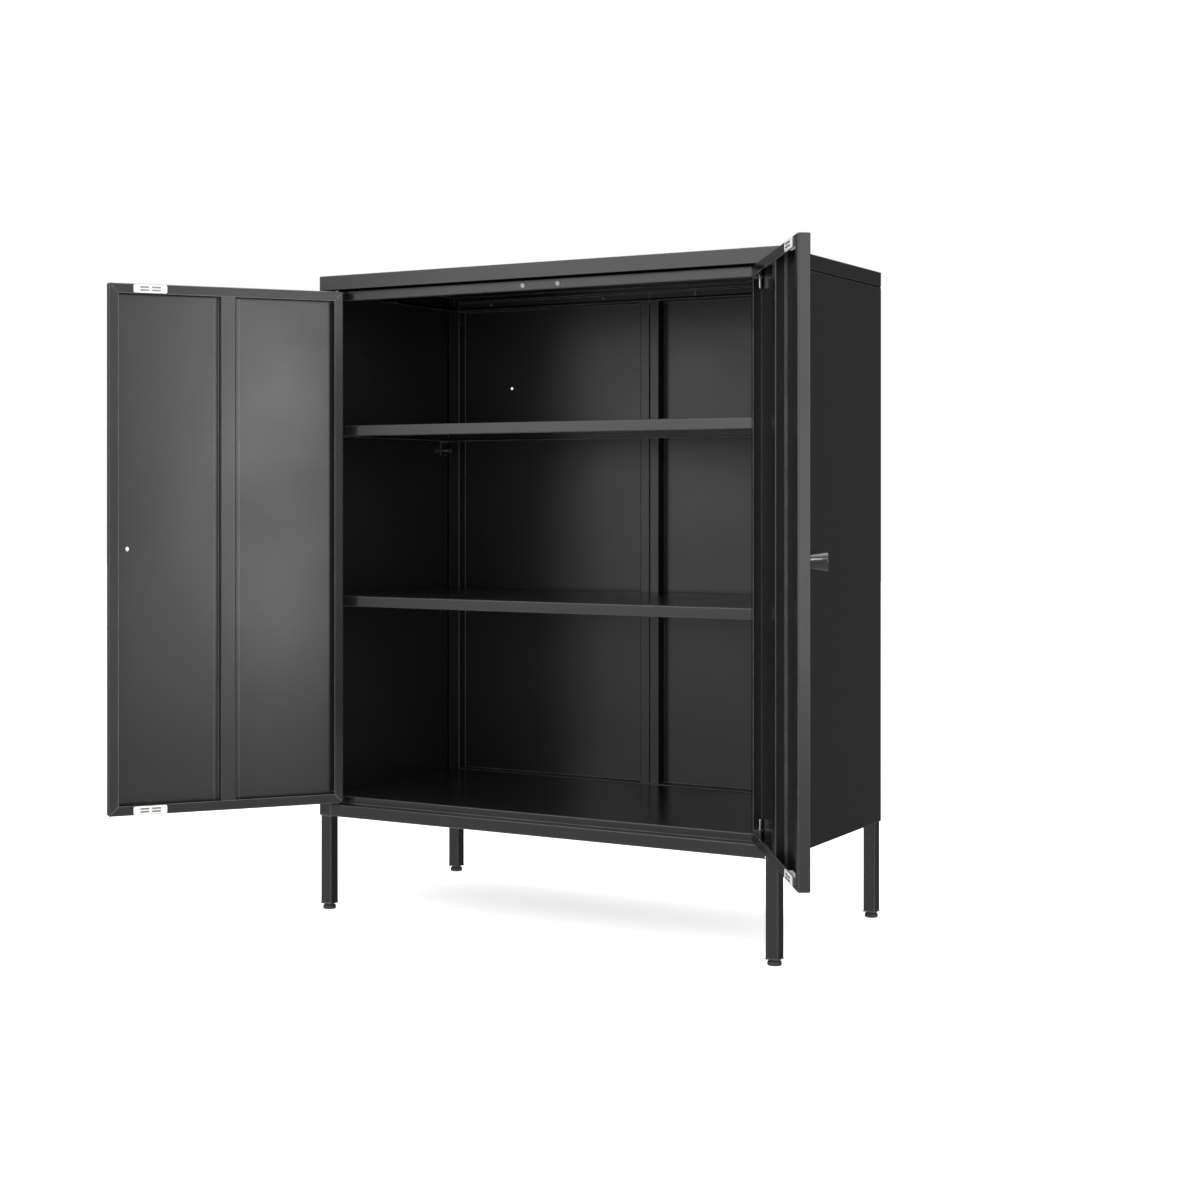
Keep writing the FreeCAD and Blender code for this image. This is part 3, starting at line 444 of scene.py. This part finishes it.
def door_lips():
    """Height of a door's lips, bent a little short of square so that their free edges stand up."""
    pivot = settings().pivot
    inputs = [("Point", (0.0, 0.0, 0.0))]
    inputs += [(label, 0.0) for label in ("Left", "Right", "Low", "High", "Face")]
    inputs += [("Width", pivot.lip), ("Slope", pivot.lip_slope)]
    group, start, end = new_group("Door lips", inputs, ["Height"])
    point = group.nodes.new("ShaderNodeSeparateXYZ")
    group.links.new(start.outputs["Point"], point.inputs["Vector"])
    x, y, z = (point.outputs[axis] for axis in "XYZ")
    edges = start.outputs
    inward = edges["Width"]
    for first, second in ((x, edges["Left"]), (edges["Right"], x), (z, edges["Low"]), (edges["High"], z)):
        inward = maths(group, "MINIMUM", inward, maths(group, "SUBTRACT", first, second))
    depth = maths(group, "SUBTRACT", edges["Face"], y)
    on_lip = remap(group, depth, LIP_BAND)
    rise = maths(group, "MULTIPLY", inward, edges["Slope"])
    group.links.new(maths(group, "MULTIPLY", rise, on_lip), end.inputs["Height"])


def seam_shade():
    """A mask of painted shade in the gap under the top panel's rim."""
    coat = settings().coat
    inputs = [("Height", coat.seam), ("Reach", coat.seam_reach)]
    group, start, end = new_group("Seam shade", inputs, ["Seam"])
    place = group.nodes.new("ShaderNodeTexCoord")
    point = group.nodes.new("ShaderNodeSeparateXYZ")
    group.links.new(place.outputs["Object"], point.inputs["Vector"])
    away = maths(group, "ABSOLUTE", maths(group, "SUBTRACT", point.outputs["Z"], start.outputs["Height"]))
    share = maths(group, "DIVIDE", away, start.outputs["Reach"])
    group.links.new(remap(group, share, SEAM_BAND), end.inputs["Seam"])


def place_group(tree, name, **values):
    """Places a group in a material; underscores stand for spaces in its inputs' names."""
    node = tree.nodes.new("ShaderNodeGroup")
    node.node_tree = bpy.data.node_groups[name]
    for label, value in values.items():
        node.inputs[label.replace("_", " ")].default_value = value
    return node


# Materials

def new_material(name):
    """A new material's node tree and its shader."""
    material = bpy.data.materials.new(name)
    material.use_nodes = True
    tree = material.node_tree
    return tree, tree.nodes["Principled BSDF"]


def mix_colours(tree, mask, first, second):
    """Mixes two colours by a mask; the first may also come from another node."""
    blend = tree.nodes.new("ShaderNodeMix")
    blend.data_type = "RGBA"
    if isinstance(first, bpy.types.NodeSocket):
        tree.links.new(first, blend.inputs["A"])
    else:
        blend.inputs["A"].default_value = (*first, 1.0)
    blend.inputs["B"].default_value = (*second, 1.0)
    tree.links.new(mask, blend.inputs["Factor"])
    return blend.outputs["Result"]


def spread(tree, mask, middle, reach):
    """A value that a mask moves to both sides of its middle."""
    return remap(tree, mask, (0.0, 1.0), (middle - reach, middle + reach))


def bump(tree, height, shader, depth=1.0):
    """Relief from a height; depth is the metres to a height of one."""
    relief = tree.nodes.new("ShaderNodeBump")
    relief.inputs["Strength"].default_value = 1.0
    relief.inputs["Distance"].default_value = depth
    tree.links.new(height, relief.inputs["Height"])
    tree.links.new(relief.outputs["Normal"], shader.inputs["Normal"])


def coat_material(name, colour, roughness, shine, side=None):
    """Satin powder coat: orange peel, cloudy sheen, edges rubbed a little thin and lightened as a painted
    highlight, and painted shade in the joint under the top panel; side names a door.
    """
    coat = settings().coat
    tree, shader = new_material(name)
    shader.inputs["Specular IOR Level"].default_value = shine
    grain = place_group(tree, "Surface grain", Grain_scale=coat.peel_scale, Smudge_scale=coat.smudge_scale)
    edge = place_group(tree, "Edge rub", Radius=coat.rub_radius, Break_scale=coat.rub_scale).outputs["Edge"]
    seam = place_group(tree, "Seam shade", Height=coat.seam, Reach=coat.seam_reach).outputs["Seam"]
    # Bends take the edge colour: wear, and a painted highlight for the light that they mirror
    body = mix_colours(tree, maths(tree, "MULTIPLY", edge, coat.rub), colour, coat.edge)
    # Painted shade: in the gap under the top panel's rim the coat turns near black, metallic and fully rough
    tree.links.new(mix_colours(tree, seam, body, coat.seam_shade_colour), shader.inputs["Base Color"])
    tree.links.new(seam, shader.inputs["Metallic"])
    sheen = spread(tree, grain.outputs["Smudge"], roughness, coat.sheen_spread)
    worn = maths(tree, "SUBTRACT", sheen, maths(tree, "MULTIPLY", edge, coat.rub_polish))
    tree.links.new(maths(tree, "MAXIMUM", worn, seam), shader.inputs["Roughness"])
    height = maths(tree, "MULTIPLY", grain.outputs["Grain"], coat.peel_height)
    if side:
        height = maths(tree, "ADD", height, lip_height(tree, side))
    bump(tree, height, shader)


def lip_height(tree, side):
    """The rise of a door's lips, found in the frame of the closed door."""
    pivot = settings().pivot
    closed = swing(side).inverted()
    place = tree.nodes.new("ShaderNodeTexCoord")
    shut = tree.nodes.new("ShaderNodeMapping")
    shut.inputs["Location"].default_value = closed.to_translation()
    shut.inputs["Rotation"].default_value = closed.to_euler()
    tree.links.new(place.outputs["Object"], shut.inputs["Vector"])
    left, right = sorted(sign(side) * x for x in (pivot.hinge_edge, pivot.free_edge))
    low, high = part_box(side + "_door_panel")
    lips = place_group(tree, "Door lips", Left=left, Right=right, Low=low.z, High=high.z, Face=pivot.back_y,
                       Width=pivot.lip, Slope=pivot.lip_slope)
    tree.links.new(shut.outputs["Vector"], lips.inputs["Point"])
    return lips.outputs["Height"]


def fitting_material(name, wear, colour, edge_light, roughness, grain_scale):
    """Plated metal or moulded plastic: fine grain, cloudy sheen and worn edges made lighter by a share."""
    tree, shader = new_material(name)
    shader.inputs["Metallic"].default_value = wear["metallic"]
    grain = place_group(tree, "Surface grain", Grain_scale=grain_scale, Smudge_scale=wear["smudges"])
    edge = place_group(tree, "Edge rub", Radius=wear["edge"], Break_scale=wear["breaks"]).outputs["Edge"]
    body = mix_colours(tree, maths(tree, "MULTIPLY", edge, wear["rub"]), colour, lighter(colour, edge_light))
    tree.links.new(body, shader.inputs["Base Color"])
    sheen = spread(tree, grain.outputs["Smudge"], roughness, wear["spread"])
    tree.links.new(sheen, shader.inputs["Roughness"])
    bump(tree, grain.outputs["Grain"], shader, GRAIN_HEIGHT)


def lighter(colour, share):
    """A colour moved towards white by a share."""
    return tuple(c + (1.0 - c) * share for c in colour)


def make_materials():
    surface_grain()
    edge_rub_and_highlight()
    door_lips()
    seam_shade()
    coat = settings().coat
    fitting = settings().fitting
    coat_material("Carcass coat", coat.carcass, coat.roughness, coat.shine)
    # A shaded copy of the carcass coat: less shine stands in for the shade inside the cabinet
    coat_material("Back coat", coat.carcass, coat.back_roughness, coat.back_shine)
    for side in SIDES:
        coat_material(side.capitalize() + " door coat", coat.door, coat.roughness, coat.shine, side)
    for name, wear, colour, edge_light, roughness, grain_scale in (
            ("Zinc plate", METAL_WEAR, fitting.zinc, 0.4, 0.30, 1500.0),
            # The poles: dull steel, darkened also as painted shade in the catches' slots
            ("Dull steel", METAL_WEAR, fitting.pole, 0.1, 0.40, 1500.0),
            ("Gunmetal plate", METAL_WEAR, fitting.gunmetal, 0.12, 0.20, 1800.0),
            ("White plastic", PLASTIC_WEAR, fitting.catch, 0.4, 0.38, 2200.0),
            ("Pale rubber", PLASTIC_WEAR, fitting.bumper, 0.2, 0.45, 2200.0),
            ("Black plastic", PLASTIC_WEAR, fitting.plastic, 0.06, 0.50, 2200.0)):
        fitting_material(name, wear, colour, edge_light, roughness, grain_scale)


def paint(obj, material):
    obj.data.materials.clear()
    obj.data.materials.append(bpy.data.materials[material])


def paint_nodes(names, material):
    for name in names:
        paint(NODES[name], material)


# Modelling

def fresh():
    bpy.ops.object.select_all(action="DESELECT")


def only(obj):
    """Makes obj the one object that is selected and active."""
    fresh()
    bpy.context.view_layer.objects.active = obj
    obj.select_set(True)


def clear_picks(kind):
    """Says which kind of part is picked next, and leaves none picked."""
    bpy.ops.object.mode_set(mode="EDIT")
    bpy.ops.mesh.select_mode(type=kind)
    bpy.ops.mesh.select_all(action="DESELECT")
    bpy.ops.object.mode_set(mode="OBJECT")


def pick_faces(obj, test):
    """Selects, in edit mode, the faces of obj that pass the test."""
    clear_picks("FACE")
    for face in obj.data.polygons:
        face.select = test(face)
    bpy.ops.object.mode_set(mode="EDIT")


def pick_edges(obj, test):
    """Selects, in edit mode, the edges of obj whose two ends pass the test."""
    clear_picks("EDGE")
    points = obj.data.vertices
    for edge in obj.data.edges:
        a, b = (points[i].co for i in edge.vertices)
        edge.select = test(a, b)
    bpy.ops.object.mode_set(mode="EDIT")


def round_top(obj, height, offset, steps=ROUND_STEPS):
    """Rounds the edges at the upper end of a piece."""
    pick_edges(obj, lambda a, b: min(a.z, b.z) > height * FAR_END)
    bpy.ops.mesh.bevel(offset=offset, segments=steps, affect="EDGES")


def pull(move):
    """Draws the picked faces out by a move."""
    bpy.ops.mesh.extrude_region_move(TRANSFORM_OT_translate={"value": move})


def done(obj):
    """Leaves edit mode and smooths all but the sharp edges."""
    bpy.ops.object.mode_set(mode="OBJECT")
    bpy.ops.object.shade_smooth_by_angle(angle=SMOOTH_ANGLE)
    return obj


def rod(radius, height, sides):
    """A cylinder that stands on the origin."""
    fresh()
    bpy.ops.mesh.primitive_cylinder_add(vertices=sides, radius=radius, depth=height,
                                        location=(0, 0, height / 2))
    bpy.ops.object.transform_apply(location=True)
    return bpy.context.object


def block(size, centre):
    """A box of a size round a centre."""
    fresh()
    bpy.ops.mesh.primitive_cube_add(size=1.0, location=centre)
    bpy.context.object.scale = size
    bpy.ops.object.transform_apply(location=True, scale=True)
    return bpy.context.object


def carve(obj, cutters):
    """Cuts the cutters out of obj, deletes them and leaves obj selected."""
    for cutter in cutters:
        only(obj)
        cut = obj.modifiers.new("Cut", "BOOLEAN")
        cut.operation = "DIFFERENCE"
        cut.solver = "EXACT"
        cut.object = cutter
        bpy.ops.object.modifier_apply(modifier=cut.name)
        bpy.data.objects.remove(cutter)


def copy_at(obj, matrix):
    """A copy of obj moved by matrix, with the move baked into its mesh."""
    twin = obj.copy()
    twin.data = obj.data.copy()
    bpy.context.scene.collection.objects.link(twin)
    only(twin)
    twin.matrix_world = matrix @ twin.matrix_world
    bpy.ops.object.transform_apply(location=True, rotation=True, scale=True)
    return twin


def join(objects, name):
    """Joins the objects into the first one and names it."""
    fresh()
    for obj in objects:
        obj.select_set(True)
    bpy.context.view_layer.objects.active = objects[0]
    if len(objects) > 1:
        bpy.ops.object.join()
    objects[0].name = name
    return objects[0]


def finish_piece(obj, name, node, material):
    """Gives a modelled piece its finish and puts it in its node's place."""
    obj.name = name
    paint(obj, material)
    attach(obj, NODES[node]["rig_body"])
    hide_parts(node)


def sign(side):
    """Which way a side lies along X."""
    return -1 if side == "left" else 1


def swing(side):
    """The turn of a closed door to the angle at which it stands open."""
    pivot = settings().pivot
    angle = sign(side) * (pivot.left_open if side == "left" else pivot.right_open)
    pin = Vector((sign(side) * pivot.pin_x, pivot.pin_y, 0))
    return Matrix.Translation(pin) @ Matrix.Rotation(angle, 4, "Z") @ Matrix.Translation(-pin)


def aim(place, direction):
    """The move that puts a piece modelled up +Z at place, pointing along direction."""
    turn = Vector(direction).to_track_quat("Z", "Y")
    return Matrix.Translation(place) @ turn.to_matrix().to_4x4()


def pan_screw(shank_length):
    """A pan head screw with a cross recess: its head stands on the origin, its shank hangs below."""
    size = settings().size
    height = size.head_height
    head = rod(size.head_radius, height, sides=40)
    round_top(head, height, height * HEAD_ROUND)
    pick_faces(head, lambda f: f.normal.z < -FACING)
    bpy.ops.mesh.inset(thickness=size.head_radius - size.shank_radius)
    pull((0, 0, -shank_length))
    bpy.ops.object.mode_set(mode="OBJECT")
    arms = [(size.cross_length, size.cross_width, height), (size.cross_width, size.cross_length, height)]
    recess_floor = height * (1.0 - CROSS_DEPTH)
    carve(head, [block(arm, (0, 0, recess_floor + height / 2)) for arm in arms])
    return done(head)


# Operators

class BUFFET_OT_carcass(bpy.types.Operator):
    """Coat the carcass panels, shelves, brackets and legs"""
    bl_idname = "buffet.carcass"
    bl_label = "Coat the carcass"

    def execute(self, context):
        names = ["top_panel", "bottom_panel", "upper_shelf", "lower_shelf"]
        names += [side + piece for side in SIDES for piece in ("_side_panel", "_shelf_brackets")]
        names += [corner + "_leg" for corner in CORNERS]
        paint_nodes(names, "Carcass coat")
        # The back panels take the shaded copy of the coat
        paint_nodes([side + "_back_panel" for side in SIDES], "Back coat")
        return {"FINISHED"}


class BUFFET_OT_doors(bpy.types.Operator):
    """Coat the door panels and their stiffeners"""
    bl_idname = "buffet.doors"
    bl_label = "Coat the doors"

    def execute(self, context):
        for side in SIDES:
            paint_nodes([side + "_door_panel", side + "_door_stiffener"], side.capitalize() + " door coat")
        return {"FINISHED"}


class BUFFET_OT_plated(bpy.types.Operator):
    """Plate the hinge pins, hinge brackets, catch poles, thumb nuts and leg bolts"""
    bl_idname = "buffet.plated"
    bl_label = "Plate the steel fittings"

    def execute(self, context):
        names = ["leg_bolts"]
        for side in SIDES:
            names.append(side + "_bracket_nuts")
            names += ["%s_door_%s_%s" % (side, end, piece) for end in ("top", "bottom")
                      for piece in ("hinge_pin", "hinge_bracket")]
        paint_nodes(names, "Zinc plate")
        # The catch poles take the steel darkened as painted shade for their slots
        paint_nodes([side + "_door_catch_poles" for side in SIDES], "Dull steel")
        return {"FINISHED"}


class BUFFET_OT_plastic(bpy.types.Operator):
    """Give the leg caps and hinge bushes their black plastic"""
    bl_idname = "buffet.plastic"
    bl_label = "Finish the caps and bushes"

    def execute(self, context):
        names = [corner + "_leg_cap" for corner in CORNERS]
        names += ["%s_%s_bush" % (side, end) for side in SIDES for end in ("top", "bottom")]
        paint_nodes(names, "Black plastic")
        return {"FINISHED"}


class BUFFET_OT_knobs(bpy.types.Operator):
    """Model the turned knobs"""
    bl_idname = "buffet.knobs"
    bl_label = "Model the knobs"

    def execute(self, context):
        size = settings().size
        pivot = settings().pivot
        knob = rod(size.knob_base, size.knob_length, sides=64)
        pick_faces(knob, lambda f: f.normal.z > FACING)
        swell = size.knob_end / size.knob_base
        bpy.ops.transform.resize(value=(swell, swell, 1.0))
        round_top(knob, size.knob_length, KNOB_ROUND)
        pick_faces(knob, lambda f: f.normal.z > SQUARE)
        bpy.ops.mesh.inset(thickness=KNOB_RIM)
        bpy.ops.mesh.inset(thickness=KNOB_SLOPE, depth=-KNOB_DISH)
        done(knob)
        for side in SIDES:
            place = Vector((sign(side) * pivot.knob_x, pivot.front_y, knob_z()))
            piece = copy_at(knob, swing(side) @ aim(place, (0, -1, 0)))
            finish_piece(piece, side + "_turned_knob", side + "_door_knob", "Gunmetal plate")
        bpy.data.objects.remove(knob)
        return {"FINISHED"}


def knob_z():
    low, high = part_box("left_door_knob")
    return (low.z + high.z) / 2


class BUFFET_OT_screws(bpy.types.Operator):
    """Model the pan head screws of the knobs and of the panels"""
    bl_idname = "buffet.screws"
    bl_label = "Model the screws"

    def execute(self, context):
        size = settings().size
        pivot = settings().pivot
        long_screw = pan_screw(size.knob_shank)
        for side in SIDES:
            place = Vector((sign(side) * pivot.knob_x, pivot.front_y + pivot.sheet, knob_z()))
            piece = copy_at(long_screw, swing(side) @ aim(place, (0, 1, 0)))
            finish_piece(piece, side + "_pan_screw", side + "_door_knob_screw", "Zinc plate")
        bpy.data.objects.remove(long_screw)
        short_screw = pan_screw(size.panel_shank)
        for node, seats in panel_screw_seats().items():
            pieces = [copy_at(short_screw, aim(Vector(place), head)) for place, head in seats]
            finish = "Zinc plate" if node == "back_joint_screws" else "Carcass coat"
            finish_piece(join(pieces, node), node + "_pan_head", node, finish)
        bpy.data.objects.remove(short_screw)
        return {"FINISHED"}


def panel_screw_seats():
    """Where each panel screw's head sits and which way it points."""
    size = settings().size
    radius = size.head_radius
    height = size.head_height
    seats = {}
    for node in ("top_panel_screws", "bottom_panel_screws"):
        low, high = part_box(node)
        xs = (low.x + radius, high.x - radius)
        ys = (low.y + radius, (low.y + high.y) / 2, high.y - radius)
        seats[node] = [((x, y, low.z + height), (0, 0, -1)) for x in xs for y in ys]
    low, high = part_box("back_panel_screws")
    top_z = high.z - radius
    low_z = low.z + radius
    xs = (low.x + radius, -size.back_screw_x, size.back_screw_x, high.x - radius)
    lip_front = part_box("left_back_panel")[0].y
    lip_back = lip_front + size.back_sheet
    seats["back_panel_screws"] = ([((x, lip_front, top_z), (0, -1, 0)) for x in xs]
                                  + [((x, lip_back, low_z), (0, 1, 0)) for x in xs])
    low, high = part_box("back_joint_screws")
    y = (low.y + high.y) / 2
    zs = (low.z + radius, (low.z + high.z) / 2, high.z - radius)
    seats["back_joint_screws"] = [((low.x + height, y, z), (-1, 0, 0)) for z in zs]
    return seats


class BUFFET_OT_catches(bpy.types.Operator):
    """Model the magnetic catches"""
    bl_idname = "buffet.catches"
    bl_label = "Model the catches"

    def execute(self, context):
        catch = catch_shape()
        pivot = settings().pivot
        for side in SIDES:
            for end in ("top", "bottom"):
                node = "%s_door_%s_catch" % (side, end)
                low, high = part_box(node)
                place = Matrix.Translation((sign(side) * pivot.catch_x, pivot.back_y, (low.z + high.z) / 2))
                piece = copy_at(catch, swing(side) @ place)
                finish_piece(piece, "%s_%s_magnet_catch" % (side, end), node, "White plastic")
        bpy.data.objects.remove(catch)
        return {"FINISHED"}


def catch_shape():
    """A catch whose plate stands on the plane y = 0, facing +Y, with slots for the poles and end marks."""
    size = settings().size
    length, thick, height = size.catch_plate
    body_length, body_depth, body_height = size.catch_body
    margin = height - body_height
    plate = block(size.catch_plate, (0, thick / 2, 0))
    pick_edges(plate, lambda a, b: abs(a.y - b.y) > thick / 2)
    bpy.ops.mesh.bevel(offset=CATCH_CORNER, segments=ROUND_STEPS, affect="EDGES")
    pick_edges(plate, lambda a, b: min(a.y, b.y) > thick * FAR_END)
    bpy.ops.mesh.bevel(offset=CATCH_EDGE, segments=3, affect="EDGES")
    pick_faces(plate, lambda f: f.normal.y < -FACING)
    bpy.ops.mesh.inset(thickness=CATCH_RIM)
    bpy.ops.mesh.inset(thickness=margin / 2 - CATCH_RIM)
    bpy.ops.transform.resize(value=(body_length / (length - margin), 1.0, 1.0))
    pull((0, -body_depth, 0))
    bpy.ops.object.mode_set(mode="OBJECT")
    columns = (-size.slot_columns / 2, size.slot_columns / 2)
    rows = (-size.slot_rows / 2, size.slot_rows / 2)
    cutters = [block(size.catch_slot, (x, thick, z)) for x in columns for z in rows]
    cutters += [block(CATCH_MARK, (x, thick, 0)) for x in (-MARK_X, MARK_X)]
    carve(plate, cutters)
    return done(plate)


class BUFFET_OT_bumpers(bpy.types.Operator):
    """Model the soft domes that the doors close against"""
    bl_idname = "buffet.bumpers"
    bl_label = "Model the bumpers"

    def execute(self, context):
        size = settings().size
        low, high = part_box("door_bumpers")
        radius = size.bumper_radius
        proud = high.y - low.y
        dome = rod(radius, proud, sides=40)
        round_top(dome, proud, proud * BUMPER_ROUND, steps=7)
        done(dome)
        places = [(x, high.y, (low.z + high.z) / 2) for x in (low.x + radius, high.x - radius)]
        pieces = [copy_at(dome, aim(Vector(place), (0, -1, 0))) for place in places]
        finish_piece(join(pieces, "bumpers"), "bumper_domes", "door_bumpers", "Pale rubber")
        bpy.data.objects.remove(dome)
        return {"FINISHED"}


class BUFFET_OT_feet(bpy.types.Operator):
    """Model the levelling feet"""
    bl_idname = "buffet.feet"
    bl_label = "Model the feet"

    def execute(self, context):
        size = settings().size
        stem_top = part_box("front_left_foot")[1].z
        foot = rod(size.foot_radius, size.foot_rim, sides=56)
        pick_edges(foot, lambda a, b: abs(a.z - b.z) < size.foot_round)
        bpy.ops.mesh.bevel(offset=size.foot_round, segments=ROUND_STEPS, affect="EDGES")
        pick_faces(foot, lambda f: f.normal.z > SQUARE)
        bpy.ops.mesh.inset(thickness=size.foot_radius - size.foot_round - size.foot_neck)
        pull((0, 0, size.foot_height - size.foot_rim))
        bpy.ops.mesh.inset(thickness=size.foot_neck - size.stem_radius)
        pull((0, 0, stem_top - size.foot_height))
        done(foot)
        for corner in CORNERS:
            node = corner + "_foot"
            low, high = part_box(node)
            place = Matrix.Translation(((low.x + high.x) / 2, (low.y + high.y) / 2, low.z))
            piece = copy_at(foot, place)
            finish_piece(piece, corner + "_levelling_foot", node, "Black plastic")
        bpy.data.objects.remove(foot)
        return {"FINISHED"}


class BUFFET_OT_stage(bpy.types.Operator):
    """Set up the floor, the soft studio light and the camera"""
    bl_idname = "buffet.stage"
    bl_label = "Set up the studio"

    def execute(self, context):
        stage = settings().stage
        make_floor(stage)
        make_sky(stage)
        for name in ("key", "side", "edge", "high", "top"):
            soft_light(stage, name)
        make_camera(stage)
        context.scene.view_settings.view_transform = "Standard"
        return {"FINISHED"}


def make_floor(stage):
    """A pale floor that glows more and more away from the cabinet, and that the coat doesn't mirror."""
    fresh()
    bpy.ops.mesh.primitive_plane_add(size=stage.floor_size, location=(0, 0, 0))
    floor = bpy.context.object
    floor.name = "studio_floor"
    tree, shader = new_material("Studio floor")
    shader.inputs["Base Color"].default_value = (*stage.floor, 1.0)
    shader.inputs["Roughness"].default_value = stage.floor_roughness
    shader.inputs["Emission Color"].default_value = WHITE
    place = tree.nodes.new("ShaderNodeTexCoord")
    reach = tree.nodes.new("ShaderNodeVectorMath")
    reach.operation = "LENGTH"
    tree.links.new(place.outputs["Object"], reach.inputs[0])
    glow = remap(tree, reach.outputs["Value"], stage.glow_reach, stage.floor_glow)
    tree.links.new(glow, shader.inputs["Emission Strength"])
    paint(floor, "Studio floor")
    floor.visible_glossy = False


def make_sky(stage):
    """White as the camera sees it; for the light, a studio bright in front, above and below, dim behind."""
    world = bpy.data.worlds.new("Studio")
    bpy.context.scene.world = world
    world.use_nodes = True
    tree = world.node_tree
    place = tree.nodes.new("ShaderNodeTexCoord")
    dot = tree.nodes.new("ShaderNodeVectorMath")
    dot.operation = "DOT_PRODUCT"
    dot.inputs[1].default_value = Vector(stage.front).normalized()
    tree.links.new(place.outputs["Generated"], dot.inputs[0])
    glow = remap(tree, dot.outputs["Value"], stage.room_turn, stage.room_glow)
    height = tree.nodes.new("ShaderNodeSeparateXYZ")
    tree.links.new(place.outputs["Generated"], height.inputs["Vector"])
    overhead = remap(tree, height.outputs["Z"], stage.top_turn, (0.0, stage.top_glow))
    below = remap(tree, height.outputs["Z"], stage.low_turn, (0.0, stage.low_glow))
    ends = maths(tree, "MAXIMUM", overhead, below)
    room = tree.nodes["Background"]
    room.inputs["Color"].default_value = WHITE
    tree.links.new(maths(tree, "MAXIMUM", glow, ends), room.inputs["Strength"])
    plain = tree.nodes.new("ShaderNodeBackground")
    plain.inputs["Color"].default_value = WHITE
    seen = tree.nodes.new("ShaderNodeLightPath")
    mix = tree.nodes.new("ShaderNodeMixShader")
    tree.links.new(seen.outputs["Is Camera Ray"], mix.inputs[0])
    tree.links.new(room.outputs["Background"], mix.inputs[1])
    tree.links.new(plain.outputs["Background"], mix.inputs[2])
    tree.links.new(mix.outputs["Shader"], tree.nodes["World Output"].inputs["Surface"])


def soft_light(stage, name):
    """A softbox that points at the cabinet."""
    place = Vector(getattr(stage, name + "_place"))
    target = Vector((0, 0, stage.aim_height))
    data = bpy.data.lights.new(name.capitalize() + " light", "AREA")
    data.shape = "RECTANGLE"
    data.size, data.size_y = getattr(stage, name + "_size")
    data.energy = getattr(stage, name + "_power")
    lamp = bpy.data.objects.new(data.name, data)
    bpy.context.scene.collection.objects.link(lamp)
    lamp.location = place
    lamp.rotation_euler = (target - place).to_track_quat("-Z", "Y").to_euler()


def make_camera(stage):
    data = bpy.data.cameras.new("Camera")
    data.lens = stage.lens
    data.sensor_width = stage.sensor
    data.shift_x, data.shift_y = stage.shift
    camera = bpy.data.objects.new("Camera", data)
    bpy.context.scene.collection.objects.link(camera)
    camera.location = stage.camera
    camera.rotation_euler = (math.radians(90.0), 0.0, stage.turn)
    bpy.context.scene.camera = camera


class BUFFET_PT_panel(bpy.types.Panel):
    """The cabinet's settings and steps"""
    bl_idname = "BUFFET_PT_panel"
    bl_label = "Buffet cabinet"
    bl_space_type = "VIEW_3D"
    bl_region_type = "UI"
    bl_category = "Buffet"

    def draw(self, context):
        for group in ("coat", "fitting", "size", "pivot", "stage"):
            section = self.layout.box()
            values = getattr(context.scene.buffet, group)
            for name in values.bl_rna.properties.keys():
                if name not in ("rna_type", "name"):
                    section.prop(values, name)
        for step in STEPS:
            self.layout.operator(step.bl_idname)


STEPS = (BUFFET_OT_carcass, BUFFET_OT_doors, BUFFET_OT_plated, BUFFET_OT_plastic, BUFFET_OT_knobs,
         BUFFET_OT_screws, BUFFET_OT_catches, BUFFET_OT_bumpers, BUFFET_OT_feet, BUFFET_OT_stage)
CLASSES = (CoatSettings, FittingSettings, SizeSettings, PivotSettings, StageSettings, BuffetSettings,
           *STEPS, BUFFET_PT_panel)


def register():
    for cls in CLASSES:
        bpy.utils.register_class(cls)
    bpy.types.Scene.buffet = bpy.props.PointerProperty(type=BuffetSettings)


def unregister():
    del bpy.types.Scene.buffet
    for cls in reversed(CLASSES):
        bpy.utils.unregister_class(cls)


def main():
    register()
    make_materials()
    bpy.ops.buffet.carcass()
    bpy.ops.buffet.doors()
    bpy.ops.buffet.plated()
    bpy.ops.buffet.plastic()
    bpy.ops.buffet.knobs()
    bpy.ops.buffet.screws()
    bpy.ops.buffet.catches()
    bpy.ops.buffet.bumpers()
    bpy.ops.buffet.feet()
    bpy.ops.buffet.stage()


if __name__ == "__main__":
    main()
